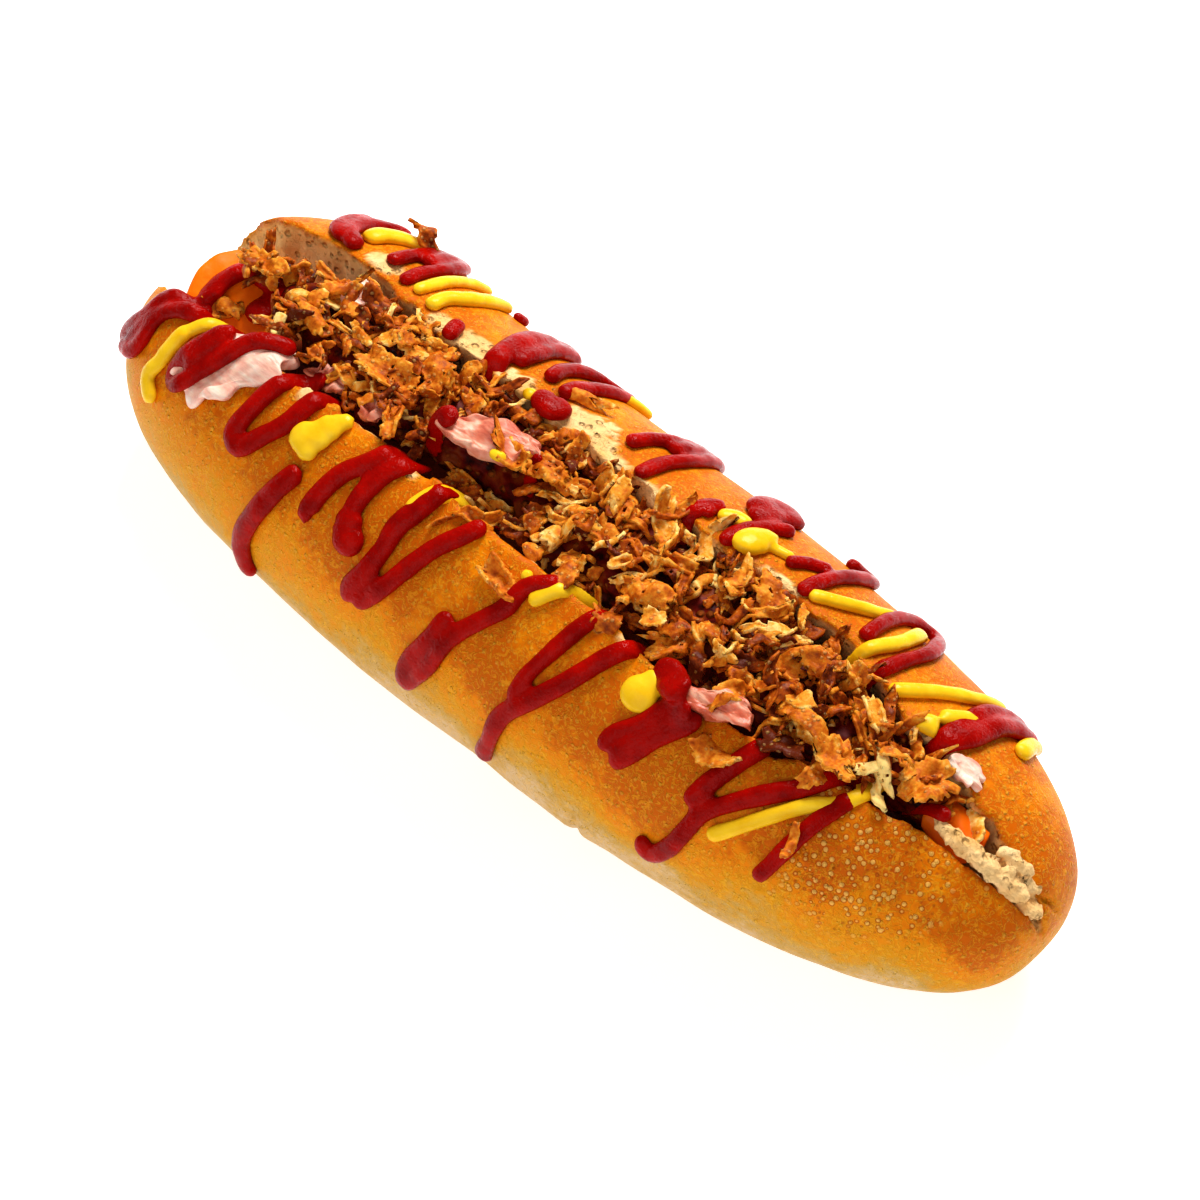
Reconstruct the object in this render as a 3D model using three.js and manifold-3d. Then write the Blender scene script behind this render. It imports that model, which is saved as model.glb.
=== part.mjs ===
// A loaded hot dog, 250 mm long: a crusty baguette roll cut open along its top, holding a sausage, cheese
// slices and folded ham under a heap of crisp fried onions, with zigzags of ketchup and mustard over it.
// Units are millimetres. X runs along the roll, from the end that is cut right through to the closed end,
// -Y is the near side, +Y the far side, +Z is up, and the origin is the middle of the flat underside.
import * as THREE from 'three';
import { mergeVertices } from 'three/addons/utils/BufferGeometryUtils.js';
import Module from 'manifold-3d';

const wasm = await Module();
wasm.setup();

// Driving dimensions of the roll
const ROLL_LENGTH = 250;
const ROLL_WIDTH = 82;
const ROLL_HEIGHT = 56;
const TIP_HEIGHT = 22; // height of the roll's two tips, and of its widest line
const BASE_SINK = 4; // how far the round underside would reach below the flat it rests on
const FLARE = 0.23; // the far half bends outwards at the open end, as a share of the half width
const FLARE_AT = -0.74; // where it bends out most, as a share of the half length
const FLARE_SPREAD = 0.24;
const EAR = 0.13; // the far half's end stands up where it is cut through, as a share of the roll's rise
const EAR_AT = -0.92;
const EAR_SPREAD = 0.09;
const HALF_LENGTH = ROLL_LENGTH / 2;
// How blunt the roll is: the power of its superellipses, where 2 is round and 3 is nearly square.
const OPEN_END_BLUNTNESS = 3;
const NEAR_TIP_BLUNTNESS = 2.35;
const FAR_TIP_BLUNTNESS = 2.7;
const TIP_RISE_BLUNTNESS = 2.6;
const TOP_BLUNTNESS = 2.15;
const BASE_BLUNTNESS = 2.5;

// Driving dimensions of what is in it
const SAUSAGE_RADIUS = 10.5;
const SAUSAGE_START = -103;
const SAUSAGE_END = 92;
const SAUSAGE_HEIGHT = 30;
const CHEESE_THICKNESS = 2.6;
const HEAP_START = -94;
const HEAP_END = 106;
const HEAP_BASE = 43;
const HEAP_TOP = 57;
const HEAP_FLAKES = 48;
const KETCHUP_WIDTH = 5.4;
const MUSTARD_WIDTH = 5;
const BEAD_HEIGHT = 3.6;
const BEAD_STEP = 13; // between the rings of a bead of sauce
const GAP = 0.35; // clearance between pieces that touch
const MM_PER_DEGREE = 0.65; // round the crust, near its top

// The cut at stations along the roll: x, the near lip's y, the far lip's y, the floor's height, and how
// straight the walls slope: near 0 the cut is a U, at 1 it is a V.
const CUT_STATIONS = [
  [-140, -11, 26, 13, 0.55],
  [-116, -11.5, 23, 13, 0.6],
  [-92, -14, 22, 14, 0.45],
  [-60, -13.5, 16, 14, 0.32],
  [0, -15.5, 13.5, 14, 0.3],
  [56, -17, 14.5, 14, 0.3],
  [80, -12, 9, 17, 0.4],
  [104, -9.5, 7, 30, 0.6],
  [119, -6.2, 5.6, 30, 0.6],
  [126, -2.5, 2.5, 24, 0.6],
  [132, -1, 1, 22, 0.6],
];
const CUT_CEILING = 74;

// Ketchup hairpins: x where a strand leaves the lip, x of the turn, x where it comes back to the lip, and the
// girth of the turn in degrees from the top, negative on the near side.
const KETCHUP_TURNS = [
  [-104, -119, -100, -70],
  [-67, -76, -57, -54],
  [-41, -51, -47, -56],
  [-36, -40, -33, -57],
  [-23, -31, -10, -70],
  [10, -13, 14, -83],
  [21, 11, 31, -92],
  [42, 36, 50, -61],
  [66, 54, 80, -86],
  [-96, -92, -88, 76],
  [-82, -75, -76, 84],
  [-42, -43, -38, 80],
  [-29, -30, -22, 78],
  [-4, 0, 3, 82],
  [25, 24, 31, 84],
  [41, 46, 47, 80],
  [61, 66, 69, 84],
  [86, 95, 92, 82],
];
// Single strands: x and girth where one starts, and x and girth where it ends.
const KETCHUP_STRANDS = [
  [-56, -43, -62, -100],
  [84, -22, 75, -70],
  [-55, 26, -56, 84],
  [16, 22, 20, 36],
];
const MUSTARD_STRANDS = [
  [-97, -20, -102, -66],
  [-26, -24, -31, -36],
  [15, -22, 3, -31],
  [85, -18, 64, -61],
  [-91, 42, -87, 76],
  [-71, 32, -64, 70],
  [-66, 30, -60, 70],
  [-26, 62, -14, 74],
  [20, 27, 32, 29],
  [47, 28, 58, 60],
  [62, 22, 65, 52],
  [74, 20, 89, 70],
  [84, 20, 92, 44],
  [98, 52, 98, 74],
];
// Drops of mustard: x, girth and width across.
const MUSTARD_DROPS = [
  [-56, -27, 10],
  [36, -33, 10],
];

// Crisp onion flakes that lie away from the heap, on the crust: x, girth.
const STRAY_FLAKES = [
  [-2, -34],
  [14, -23],
  [59, -36],
  [-11, -27],
  [85, -42],
  [24, -27],
  [-77, 34],
  [-24, 30],
  [40, 40],
];

const UP = new THREE.Vector3(0, 0, 1);

const signedPower = (value, power) => Math.sign(value) * Math.abs(value) ** power;
const mix = (a, b, share) => a + (b - a) * share;
const clamp = (value, low, high) => Math.min(high, Math.max(low, value));
const smooth = (share) => {
  const t = clamp(share, 0, 1);
  return t * t * (3 - 2 * t);
};

// The row of a station table at x, blended smoothly between its two neighbours.
function stationAt(table, x) {
  const last = table.length - 1;
  if (x <= table[0][0]) return table[0];
  if (x >= table[last][0]) return table[last];
  const next = table.findIndex((row) => row[0] > x);
  const [before, after] = [table[next - 1], table[next]];
  const share = smooth((x - before[0]) / (after[0] - before[0]));
  return before.map((value, column) => mix(value, after[column], share));
}

// A repeatable random number from 0 to 1.
function makeDice(seed) {
  let state = seed;
  return () => {
    state = (state * 1664525 + 1013904223) % 4294967296;
    return state / 4294967296;
  };
}

// Half width of the roll, as a share of the widest, at u = -1 to 1 along it. The open end is blunter.
function planShare(u, far) {
  const tip = far ? FAR_TIP_BLUNTNESS : NEAR_TIP_BLUNTNESS;
  const power = u < 0 ? OPEN_END_BLUNTNESS : tip;
  const width = Math.max(0, 1 - Math.abs(u) ** power) ** (1 / power);
  const bent = Math.exp(-(((u - FLARE_AT) / FLARE_SPREAD) ** 2)) * Math.sqrt(Math.max(0, 1 - u ** 8));
  return far ? width + FLARE * bent : width;
}

function riseShare(u, far) {
  const power = u < 0 ? OPEN_END_BLUNTNESS : TIP_RISE_BLUNTNESS;
  const ear = far ? EAR * Math.exp(-(((u - EAR_AT) / EAR_SPREAD) ** 2)) * Math.sqrt(Math.max(0, 1 - u ** 8)) : 0;
  return Math.max(0, 1 - Math.abs(u) ** power) ** (1 / power) + ear;
}

// A point on the uncut crust: girth is in degrees from the top, and lift is the height above the crust.
function crustPoint(x, girth, lift = 0) {
  const u = clamp(x / HALF_LENGTH, -1, 1);
  const turn = (girth * Math.PI) / 180;
  const [across, up] = [Math.sin(turn), Math.cos(turn)];
  const half = (ROLL_WIDTH / 2) * planShare(u, across > 0) + lift;
  const share = riseShare(u, across > 0.15);
  const power = 2 / (up > 0 ? TOP_BLUNTNESS : BASE_BLUNTNESS);
  const reach = up > 0 ? (ROLL_HEIGHT - TIP_HEIGHT) * share + lift : (TIP_HEIGHT + BASE_SINK) * share + lift;
  const z = TIP_HEIGHT + reach * signedPower(up, power);
  return new THREE.Vector3(x, half * signedPower(across, power), Math.max(z, 0));
}

// Directions on the crust: out of it, along the roll and round it.
function crustNormal(x, girth) {
  const along = crustPoint(x + 0.5, girth).sub(crustPoint(x - 0.5, girth));
  const round = crustPoint(x, girth + 1).sub(crustPoint(x, girth - 1));
  return round.cross(along).normalize().negate();
}

// A closed geometry becomes a solid that can be joined and cut, with its faces pointing out.
function solidOf(geometry) {
  const bare = geometry.clone();
  bare.deleteAttribute('normal');
  bare.deleteAttribute('uv');
  const merged = mergeVertices(bare, 1e-4);
  const vertProperties = new Float32Array(merged.attributes.position.array);
  const corners = Array.from(merged.index.array);
  const triangles = [];
  let volume = 0;
  const [a, b, c] = [new THREE.Vector3(), new THREE.Vector3(), new THREE.Vector3()];
  for (let i = 0; i < corners.length; i += 3) {
    const [p, q, r] = corners.slice(i, i + 3);
    if (p === q || q === r || r === p) continue;
    triangles.push(p, q, r);
    a.fromArray(vertProperties, p * 3);
    b.fromArray(vertProperties, q * 3);
    c.fromArray(vertProperties, r * 3);
    volume += a.dot(b.cross(c));
  }
  const triVerts = new Uint32Array(volume > 0 ? triangles : triangles.reverse());
  return new wasm.Manifold(new wasm.Mesh({ numProp: 3, vertProperties, triVerts }));
}

// The largest piece of a solid: loose scraps that a cut leaves are dropped.
function largest(solid) {
  const pieces = solid.decompose();
  return pieces.reduce((best, piece) => (piece.volume() > best.volume() ? piece : best), pieces[0]);
}

function joined(solids) {
  return solids.reduce((sum, solid) => sum.add(solid));
}

// A solid thickened by the gap: each corner moves out along the average of its faces' directions.
function padded(solid) {
  const mesh = solid.getMesh();
  const geometry = new THREE.BufferGeometry();
  geometry.setAttribute('position', new THREE.BufferAttribute(new Float32Array(mesh.vertProperties), 3));
  geometry.setIndex(new THREE.BufferAttribute(new Uint32Array(mesh.triVerts), 1));
  geometry.computeVertexNormals();
  const { position, normal } = geometry.attributes;
  const vertProperties = position.array.map((value, i) => value + 2 * GAP * normal.array[i]);
  return solid.add(new wasm.Manifold(new wasm.Mesh({ numProp: 3, vertProperties, triVerts: mesh.triVerts })));
}

function nodeFrom(name, solid, colour, roughness) {
  const mesh = solid.getMesh();
  const geometry = new THREE.BufferGeometry();
  geometry.setAttribute('position', new THREE.BufferAttribute(new Float32Array(mesh.vertProperties), 3));
  geometry.setIndex(new THREE.BufferAttribute(new Uint32Array(mesh.triVerts), 1));
  geometry.computeVertexNormals();
  const material = new THREE.MeshStandardMaterial({ color: colour, roughness, metalness: 0 });
  const node = new THREE.Mesh(geometry, material);
  node.name = name;
  return node;
}

// A sphere drawn out along a line: place(travel, angle) gives the point at travel 0 to 1 and angle round it.
function drawnSphere(sides, rings, place) {
  const geometry = new THREE.SphereGeometry(1, sides, rings);
  const position = geometry.attributes.position;
  for (let i = 0; i < position.count; i += 1) {
    const axis = clamp(position.getY(i), -1, 1);
    const angle = Math.atan2(position.getZ(i), position.getX(i));
    const pole = Math.abs(axis) > 0.99999;
    const point = place((1 - axis) / 2, pole ? 0 : angle, pole ? 0 : Math.sqrt(1 - axis * axis));
    position.setXYZ(i, point.x, point.y, point.z);
  }
  return geometry;
}

// The roll before it is cut. Rings crowd towards the tips, where the shape turns fastest.
function wholeRoll(grow = 0) {
  const stretch = (HALF_LENGTH + grow) / HALF_LENGTH;
  return solidOf(
    drawnSphere(36, 24, (travel, angle, around) => {
      const x = (2 * travel - 1) * HALF_LENGTH;
      const point = crustPoint(x, (angle * 180) / Math.PI, around > 0 ? grow : 0);
      return point.setX(x * stretch).setZ(point.z - (point.z < 0.01 ? grow : 0));
    }),
  );
}

// What the knife and the fingers opened: a trough through the open end that closes to a slit at the other.
function cut(shrink = 0) {
  const geometry = new THREE.BoxGeometry(1, 1, 1, 28, 1, 4);
  const position = geometry.attributes.position;
  const [first, last] = [CUT_STATIONS[0][0], CUT_STATIONS[CUT_STATIONS.length - 1][0]];
  for (let i = 0; i < position.count; i += 1) {
    const x = mix(first, last, position.getX(i) + 0.5);
    const share = position.getZ(i) + 0.5;
    const [, near, far, floor, slope] = stationAt(CUT_STATIONS, x);
    const ragged = 0.7 * Math.sin(x * 0.37) + 0.5 * Math.sin(x * 0.83 + 1);
    const middle = (near + far) / 2;
    const spread = 0.12 + 0.88 * Math.min(1, share / 0.62) ** slope;
    const half = ((far - near) / 2) * spread - shrink;
    const y = middle + 2 * position.getY(i) * half + ragged * share;
    position.setXYZ(i, x, y, mix(floor + shrink, CUT_CEILING, share));
  }
  return solidOf(geometry);
}

// A bead of sauce over the crust, through points of x and girth, with round ends.
function bead(points, width, grow = 0, height = BEAD_HEIGHT) {
  const route = new THREE.CatmullRomCurve3(points.map(([x, girth]) => new THREE.Vector3(x, girth, 0)));
  const on = (travel, lift) => {
    const at = route.getPoint(clamp(travel, 0, 1));
    return crustPoint(at.x, at.y, lift);
  };
  let length = 0;
  for (let i = 0; i < 20; i += 1) length += on((i + 1) / 20, 0).distanceTo(on(i / 20, 0));
  const rings = Math.max(4, Math.round(length / BEAD_STEP) + 2);
  return solidOf(
    drawnSphere(4, rings, (travel, turned, around) => {
      const angle = turned + Math.PI / 4;
      const share = Math.acos(clamp(1 - 2 * travel, -1, 1)) / Math.PI; // spaces the rings evenly
      const at = route.getPoint(share);
      const normal = crustNormal(at.x, at.y);
      const ahead = on(share + 0.02, 0).sub(on(share - 0.02, 0)).normalize();
      const side = normal.clone().cross(ahead).normalize();
      const thick = around > 0 ? 1.3 * Math.min(1, around * 2) : 0;
      const centre = crustPoint(at.x, at.y, 0).addScaledVector(normal, 0.25 * height);
      centre.addScaledVector(ahead, around > 0 ? 0 : (share - 0.5) * grow * 2);
      centre.addScaledVector(side, thick * (width / 2 + grow) * Math.cos(angle));
      return centre.addScaledVector(normal, thick * (height / 2 + grow) * Math.sin(angle));
    }),
  );
}

// The girth at which the near or far lip lies at x, a little outside the cut.
function lipGirth(x, far) {
  const [, near, farLip] = stationAt(CUT_STATIONS, x);
  const y = far ? farLip + 2.5 : near - 2.5;
  const half = (ROLL_WIDTH / 2) * planShare(x / HALF_LENGTH, far);
  const share = clamp(signedPower(y / half, TOP_BLUNTNESS / 2), -1, 1);
  return (Math.asin(share) * 180) / Math.PI;
}

function ketchup(grow = 0) {
  const beads = KETCHUP_TURNS.map(([start, turn, back, girth]) => {
    const far = girth > 0;
    const tight = Math.sign(back - start || 1) * 2.2;
    const outer = girth * 0.8;
    return bead(
      [
        [start, lipGirth(start, far)],
        [mix(start, turn - tight, 0.7), mix(lipGirth(start, far), outer, 0.7)],
        [turn - tight, outer],
        [turn, girth],
        [turn + tight, outer],
        [mix(back, turn + tight, 0.7), mix(lipGirth(back, far), outer, 0.7)],
        [back, lipGirth(back, far)],
      ],
      KETCHUP_WIDTH,
      grow,
    );
  });
  const strands = KETCHUP_STRANDS.map(([x, girth, endX, endGirth]) =>
    bead([[x, girth], [mix(x, endX, 0.6), mix(girth, endGirth, 0.5)], [endX, endGirth]], KETCHUP_WIDTH, grow),
  );
  return joined([...beads, ...strands]);
}

function mustard(grow = 0) {
  const strands = MUSTARD_STRANDS.map(([x, girth, endX, endGirth]) =>
    bead([[x, girth], [mix(x, endX, 0.4), mix(girth, endGirth, 0.5)], [endX, endGirth]], MUSTARD_WIDTH, grow),
  );
  const drops = MUSTARD_DROPS.map(([x, girth, across]) =>
    bead([[x - 3, girth - 3], [x, girth], [x + 3, girth + 6]], across, grow, BEAD_HEIGHT * 1.5),
  );
  return joined([...strands, ...drops]);
}

// A crisp flake of fried onion: a bent and twisted chip, thin at both ends.
function flake(length, width, thickness, bend, twist) {
  const geometry = new THREE.BoxGeometry(length, width, thickness, 2, 1, 1);
  const position = geometry.attributes.position;
  for (let i = 0; i < position.count; i += 1) {
    const share = position.getX(i) / (length / 2);
    const taper = 1 - 0.35 * share * share;
    const turn = twist * share;
    const [y, z] = [position.getY(i) * taper, position.getZ(i)];
    position.setY(i, y * Math.cos(turn) - z * Math.sin(turn));
    position.setZ(i, y * Math.sin(turn) + z * Math.cos(turn) + bend * (share * share - 0.4));
  }
  return geometry;
}

function placedFlake(dice, x, y, z, size) {
  const [width, thickness] = [size * mix(0.45, 0.75, dice()), mix(1.2, 1.8, dice())];
  const geometry = flake(size, width, thickness, mix(-2, 2, dice()), mix(-0.6, 0.6, dice()));
  geometry.rotateX(mix(-0.7, 0.7, dice()));
  geometry.rotateY(mix(-0.6, 0.6, dice()));
  geometry.rotateZ(dice() * Math.PI);
  geometry.translate(x, y, z);
  return solidOf(geometry);
}

function strayFlakes(grow = 0) {
  const dice = makeDice(11);
  return joined(
    STRAY_FLAKES.map(([x, girth]) => {
      const size = mix(9, 13, dice()) + 2 * grow;
      const at = crustPoint(x, girth, 1.3);
      const tilt = new THREE.Quaternion().setFromUnitVectors(UP, crustNormal(x, girth));
      const geometry = flake(size, size * 0.55, 2 + 2 * grow, -0.8, 0.2);
      geometry.rotateZ(dice() * Math.PI);
      geometry.applyQuaternion(tilt);
      geometry.translate(at.x, at.y, at.z);
      return solidOf(geometry);
    }),
  );
}

// Strands of torn crumb that still hold the slit together near the closed end: their middle, their length,
// how far they dip and which way they head.
const CRUMB_STRANDS = [
  { at: [110, -1.5, 41.5], length: 21, dip: 0.4, heading: -0.16 },
  { at: [117, 0, 38], length: 9, dip: 0.5, heading: 0.9 },
];

function crumbStrands(grow = 0) {
  return joined(
    CRUMB_STRANDS.map(({ at, length, dip, heading }) => {
      const geometry = flake(length + 2 * grow, 5 + 2 * grow, 5 + 2 * grow, 1, 0.3);
      geometry.rotateY(dip);
      geometry.rotateZ(heading);
      geometry.translate(...at);
      return solidOf(geometry);
    }),
  );
}

// The roll with its sauces, the stray flakes and the torn crumb fused on.
function roll(grow = 0) {
  const bread = wholeRoll(grow).subtract(cut(grow));
  return joined([bread, crumbStrands(grow), ketchup(grow), mustard(grow), strayFlakes(grow)]);
}

function sausage(grow = 0) {
  return solidOf(
    drawnSphere(12, 14, (travel, angle, around) => {
      const x = mix(SAUSAGE_START - grow, SAUSAGE_END + grow, travel);
      const radius = around > 0 ? (SAUSAGE_RADIUS + grow) * Math.min(1, around * 1.25) : 0;
      const y = 1.2 * Math.sin(x * 0.03) - 1 + radius * Math.cos(angle);
      return new THREE.Vector3(x, y, SAUSAGE_HEIGHT + radius * Math.sin(angle));
    }),
  );
}

// A thin slice, both faces split into triangles alike. place(p, q) gives the middle of the slice at p and q
// from -1 to 1.
function slice(cellsLong, cellsWide, thickness, place) {
  const geometry = new THREE.BoxGeometry(2, 2, 1, cellsLong, cellsWide, 1);
  const position = geometry.attributes.position;
  for (let i = 0; i < position.count; i += 1) {
    const [a, b, face] = [position.getX(i), position.getY(i), position.getZ(i) * 2];
    const p = a * Math.sqrt(1 - (b * b) / 3.2);
    const q = b * Math.sqrt(1 - (a * a) / 3.2);
    const centre = place(p, q);
    const alongP = place(p + 0.05, q).sub(place(p - 0.05, q));
    const alongQ = place(p, q + 0.05).sub(place(p, q - 0.05));
    const out = alongP.cross(alongQ).normalize();
    centre.addScaledVector(out, (face * thickness) / 2);
    position.setXYZ(i, centre.x, centre.y, centre.z);
  }
  return solidOf(geometry);
}

// Cheese slices bent over the sausage: middle x, half length, half width, middle y, height and lean.
const CHEESE_SLICES = {
  cheese_left: { x: -101, halfLong: 13, halfWide: 9.5, y: 0, z: 42.5, lean: 0.12, rise: -0.04 },
  cheese_right: { x: 74, halfLong: 11, halfWide: 7.5, y: -2, z: 44.5, lean: 0.35, rise: 0.1 },
  cheese_tip: { x: 100, halfLong: 7, halfWide: 4, y: -1.5, z: 42, lean: 0.3, rise: -0.2 },
};

function cheese(name) {
  const { x, halfLong, halfWide, y, z, lean, rise } = CHEESE_SLICES[name];
  const place = (p, q) => {
    const height = z + rise * p * halfLong + lean * q * halfWide - 2.4 * q * q;
    return new THREE.Vector3(x + p * halfLong, y + q * halfWide, height);
  };
  return slice(5, 4, CHEESE_THICKNESS, place);
}

// Ham over the roll: middle x and girth, half length, half girth, how far its long edges lie askew (slant in x,
// turn in girth), lift above the uncut crust's line, how deep it sags where the cut is below it, how much it
// waves, and its thickness.
const HAM_SLICES = {
  ham_left: { at: [-86, -29], half: [9, 21], slant: 6, turn: 0, lift: 1.6, sag: 9, wave: 0.7, thickness: 1.8 },
  ham_fold: { at: [-68, -9], half: [5, 7], slant: 0, turn: 0, lift: -5, sag: 0, wave: 0.8, thickness: 2.4 },
  ham_curl: { at: [-54, -9], half: [3.6, 7], slant: 0, turn: 0, lift: -3.5, sag: 0, wave: 1.2, thickness: 2.4 },
  ham_middle: { at: [-27, 0], half: [11, 4.5], slant: -3, turn: 5, lift: 1.2, sag: 0, wave: 1, thickness: 2.6 },
  ham_right: { at: [51.5, -22.5], half: [7.5, 4], slant: -2, turn: 3.5, lift: 2.4, sag: 0, wave: 0.3, thickness: 4.6 },
  ham_white: { at: [-78, 15], half: [4, 6], slant: 0, turn: 0, lift: -0.5, sag: 0, wave: 0.5, thickness: 2 },
  ham_tip: { at: [96, 13], half: [4.5, 7], slant: 0, turn: 0, lift: 1, sag: 0, wave: 0.5, thickness: 1.8 },
};

function ham(name) {
  const { at, half, slant, turn, lift, sag, wave, thickness } = HAM_SLICES[name];
  const place = (p, q) => {
    const [x, girth] = [at[0] + p * half[0] + q * slant, at[1] + q * half[1] + p * turn];
    const ripple = wave * Math.sin(p * 4 + q * 2) + 0.5 * wave * Math.sin(q * 6 - p);
    const overCut = smooth((girth + 20) / 20) * sag;
    const point = crustPoint(x, girth, lift + ripple);
    return point.setZ(point.z - overCut);
  };
  const halfWide = half[1] * MM_PER_DEGREE;
  const cells = [Math.max(3, Math.round(half[0] * 0.35)), Math.max(2, Math.round(halfWide * 0.5))];
  return slice(...cells, thickness, place);
}

// Ketchup that crosses the ham at the open end is fused to the ham it lies on.
function ketchupOnHam() {
  const route = [[-86, -16], [-92, -31], [-97, -46], [-93, -48], [-88, -34], [-82, -18]];
  return bead(route, KETCHUP_WIDTH, 0, BEAD_HEIGHT + 3.4);
}

// The heap across the roll at x: its middle y, its half width and how far its top lies below the highest.
// Past the middle of the roll it leaves the near side bare, where the sausage shows.
function heapAt(x) {
  const [, near, far] = stationAt(CUT_STATIONS, x);
  const bare = 5 * Math.exp(-(((x + 25) / 15) ** 2));
  const half = clamp((far - near) / 2 - 2, 2.5, 12.5) - bare / 2;
  return { middle: (near + far) / 2 + 1.5 + bare / 2, half, drop: Math.max(0, x - 78) * 0.3 };
}

// The heap of crisp onions: an uneven core in the cut, with the flakes that show fused on.
function onionHeap() {
  const lumps = (x, angle) => 1 + 0.14 * Math.sin(x * 0.21 + 2 * angle) + 0.1 * Math.sin(x * 0.47 - angle);
  const core = solidOf(
    drawnSphere(8, 15, (travel, angle, around) => {
      const x = mix(HEAP_START, HEAP_END, travel);
      const { middle, half, drop } = heapAt(x);
      const fill = around > 0 ? Math.min(1, around * 1.5) * lumps(x, angle) : 0;
      const height = (HEAP_BASE + HEAP_TOP) / 2 - drop;
      const tall = ((HEAP_TOP - HEAP_BASE) / 2) * fill;
      return new THREE.Vector3(x, middle + half * fill * Math.cos(angle), height + tall * Math.sin(angle));
    }),
  );
  const dice = makeDice(7);
  const flakes = [];
  for (let i = 0; i < HEAP_FLAKES; i += 1) {
    const x = mix(HEAP_START, HEAP_END - 2, (i + dice()) / HEAP_FLAKES);
    const { middle, half, drop } = heapAt(x);
    const across = i % 3 === 0 ? mix(-1.15, -0.6, dice()) : mix(-0.6, 1.05, dice());
    const z = HEAP_TOP - drop - 0.5 - 6 * across * across + 2.5 * dice();
    flakes.push(placedFlake(dice, x, middle + across * half, z, mix(7, 14, dice())));
  }
  return joined([core, ...flakes]);
}

// Each piece is cut clear of the pieces that were laid before it.
const laid = [roll(GAP), sausage(GAP)];
const clearOf = (solid) => largest(laid.reduce((rest, other) => rest.subtract(other), solid));

const hotDog = new THREE.Group();
hotDog.add(nodeFrom('roll', largest(roll()), 0xd58a2c, 0.6));
hotDog.add(nodeFrom('sausage', largest(sausage().subtract(laid[0])), 0x8e3a1c, 0.35));
for (const name of Object.keys(CHEESE_SLICES)) {
  const solid = clearOf(cheese(name));
  hotDog.add(nodeFrom(name, solid, 0xf98a0c, 0.4));
  laid.push(padded(solid));
}
for (const name of Object.keys(HAM_SLICES)) {
  const solid = clearOf(name === 'ham_left' ? ham(name).add(ketchupOnHam()) : ham(name));
  hotDog.add(nodeFrom(name, solid, 0xe8a78c, 0.5));
  laid.push(padded(solid));
}
hotDog.add(nodeFrom('onion_heap', clearOf(onionHeap()), 0xc98436, 0.8));

export default hotDog;
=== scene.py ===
import math
import random

import bmesh
import bpy
import numpy as np
from mathutils import Matrix, Vector, noise
from mathutils.bvhtree import BVHTree


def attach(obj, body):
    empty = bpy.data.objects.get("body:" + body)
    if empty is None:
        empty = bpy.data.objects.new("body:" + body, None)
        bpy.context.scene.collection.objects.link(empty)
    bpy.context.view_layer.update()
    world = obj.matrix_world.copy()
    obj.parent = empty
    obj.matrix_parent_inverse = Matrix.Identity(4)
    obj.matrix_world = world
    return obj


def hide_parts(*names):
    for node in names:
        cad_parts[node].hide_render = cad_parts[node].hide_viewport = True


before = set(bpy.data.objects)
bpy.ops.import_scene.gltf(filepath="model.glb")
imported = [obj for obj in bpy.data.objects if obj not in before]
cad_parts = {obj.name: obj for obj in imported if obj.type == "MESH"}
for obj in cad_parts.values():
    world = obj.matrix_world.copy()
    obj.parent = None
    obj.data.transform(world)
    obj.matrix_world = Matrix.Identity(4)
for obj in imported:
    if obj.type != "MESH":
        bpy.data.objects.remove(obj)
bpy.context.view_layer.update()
scene = bpy.context.scene

# The roll is a half baguette of white bread, baked brown and blistered on top and paler down its sides. A
# knife opened it along the top and right through its left end, and fingers pulled it wider, so the walls
# of the cut and its lips show torn crumb.
MM = 0.001
HALF_LENGTH = 125.0
HALF_WIDTH = 41.0
TIP_HEIGHT = 22.0
RISE_ABOVE = 34.0
RISE_BELOW = 26.0
FLARE, FLARE_AT, FLARE_SPREAD = 0.23, -0.74, 0.24
EAR, EAR_AT, EAR_SPREAD = 0.13, -0.92, 0.09
CUT_CEILING = 74.0
# The cut at stations along the roll: x, the near lip's y, the far lip's y, the floor's height and the
# walls' slope.
CUT_STATIONS = np.array([
    (-140, -11, 26, 13, 0.55), (-116, -11.5, 23, 13, 0.6), (-92, -14, 22, 14, 0.45),
    (-60, -13.5, 16, 14, 0.32), (0, -15.5, 13.5, 14, 0.3), (56, -17, 14.5, 14, 0.3), (80, -12, 9, 17, 0.4),
    (104, -9.5, 7, 30, 0.6), (119, -6.2, 5.6, 30, 0.6), (126, -2.5, 2.5, 24, 0.6), (132, -1, 1, 22, 0.6),
])


def plan_share(u, far):
    """Half width of the roll as a share of the widest, at u = -1 to 1 along it."""
    power = np.where(u < 0, 3.0, np.where(far, 2.7, 2.35))
    width = np.maximum(0, 1 - np.abs(u) ** power) ** (1 / power)
    bent = np.exp(-(((u - FLARE_AT) / FLARE_SPREAD) ** 2)) * np.sqrt(np.maximum(0, 1 - u**8))
    return np.where(far, width + FLARE * bent, width)


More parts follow.
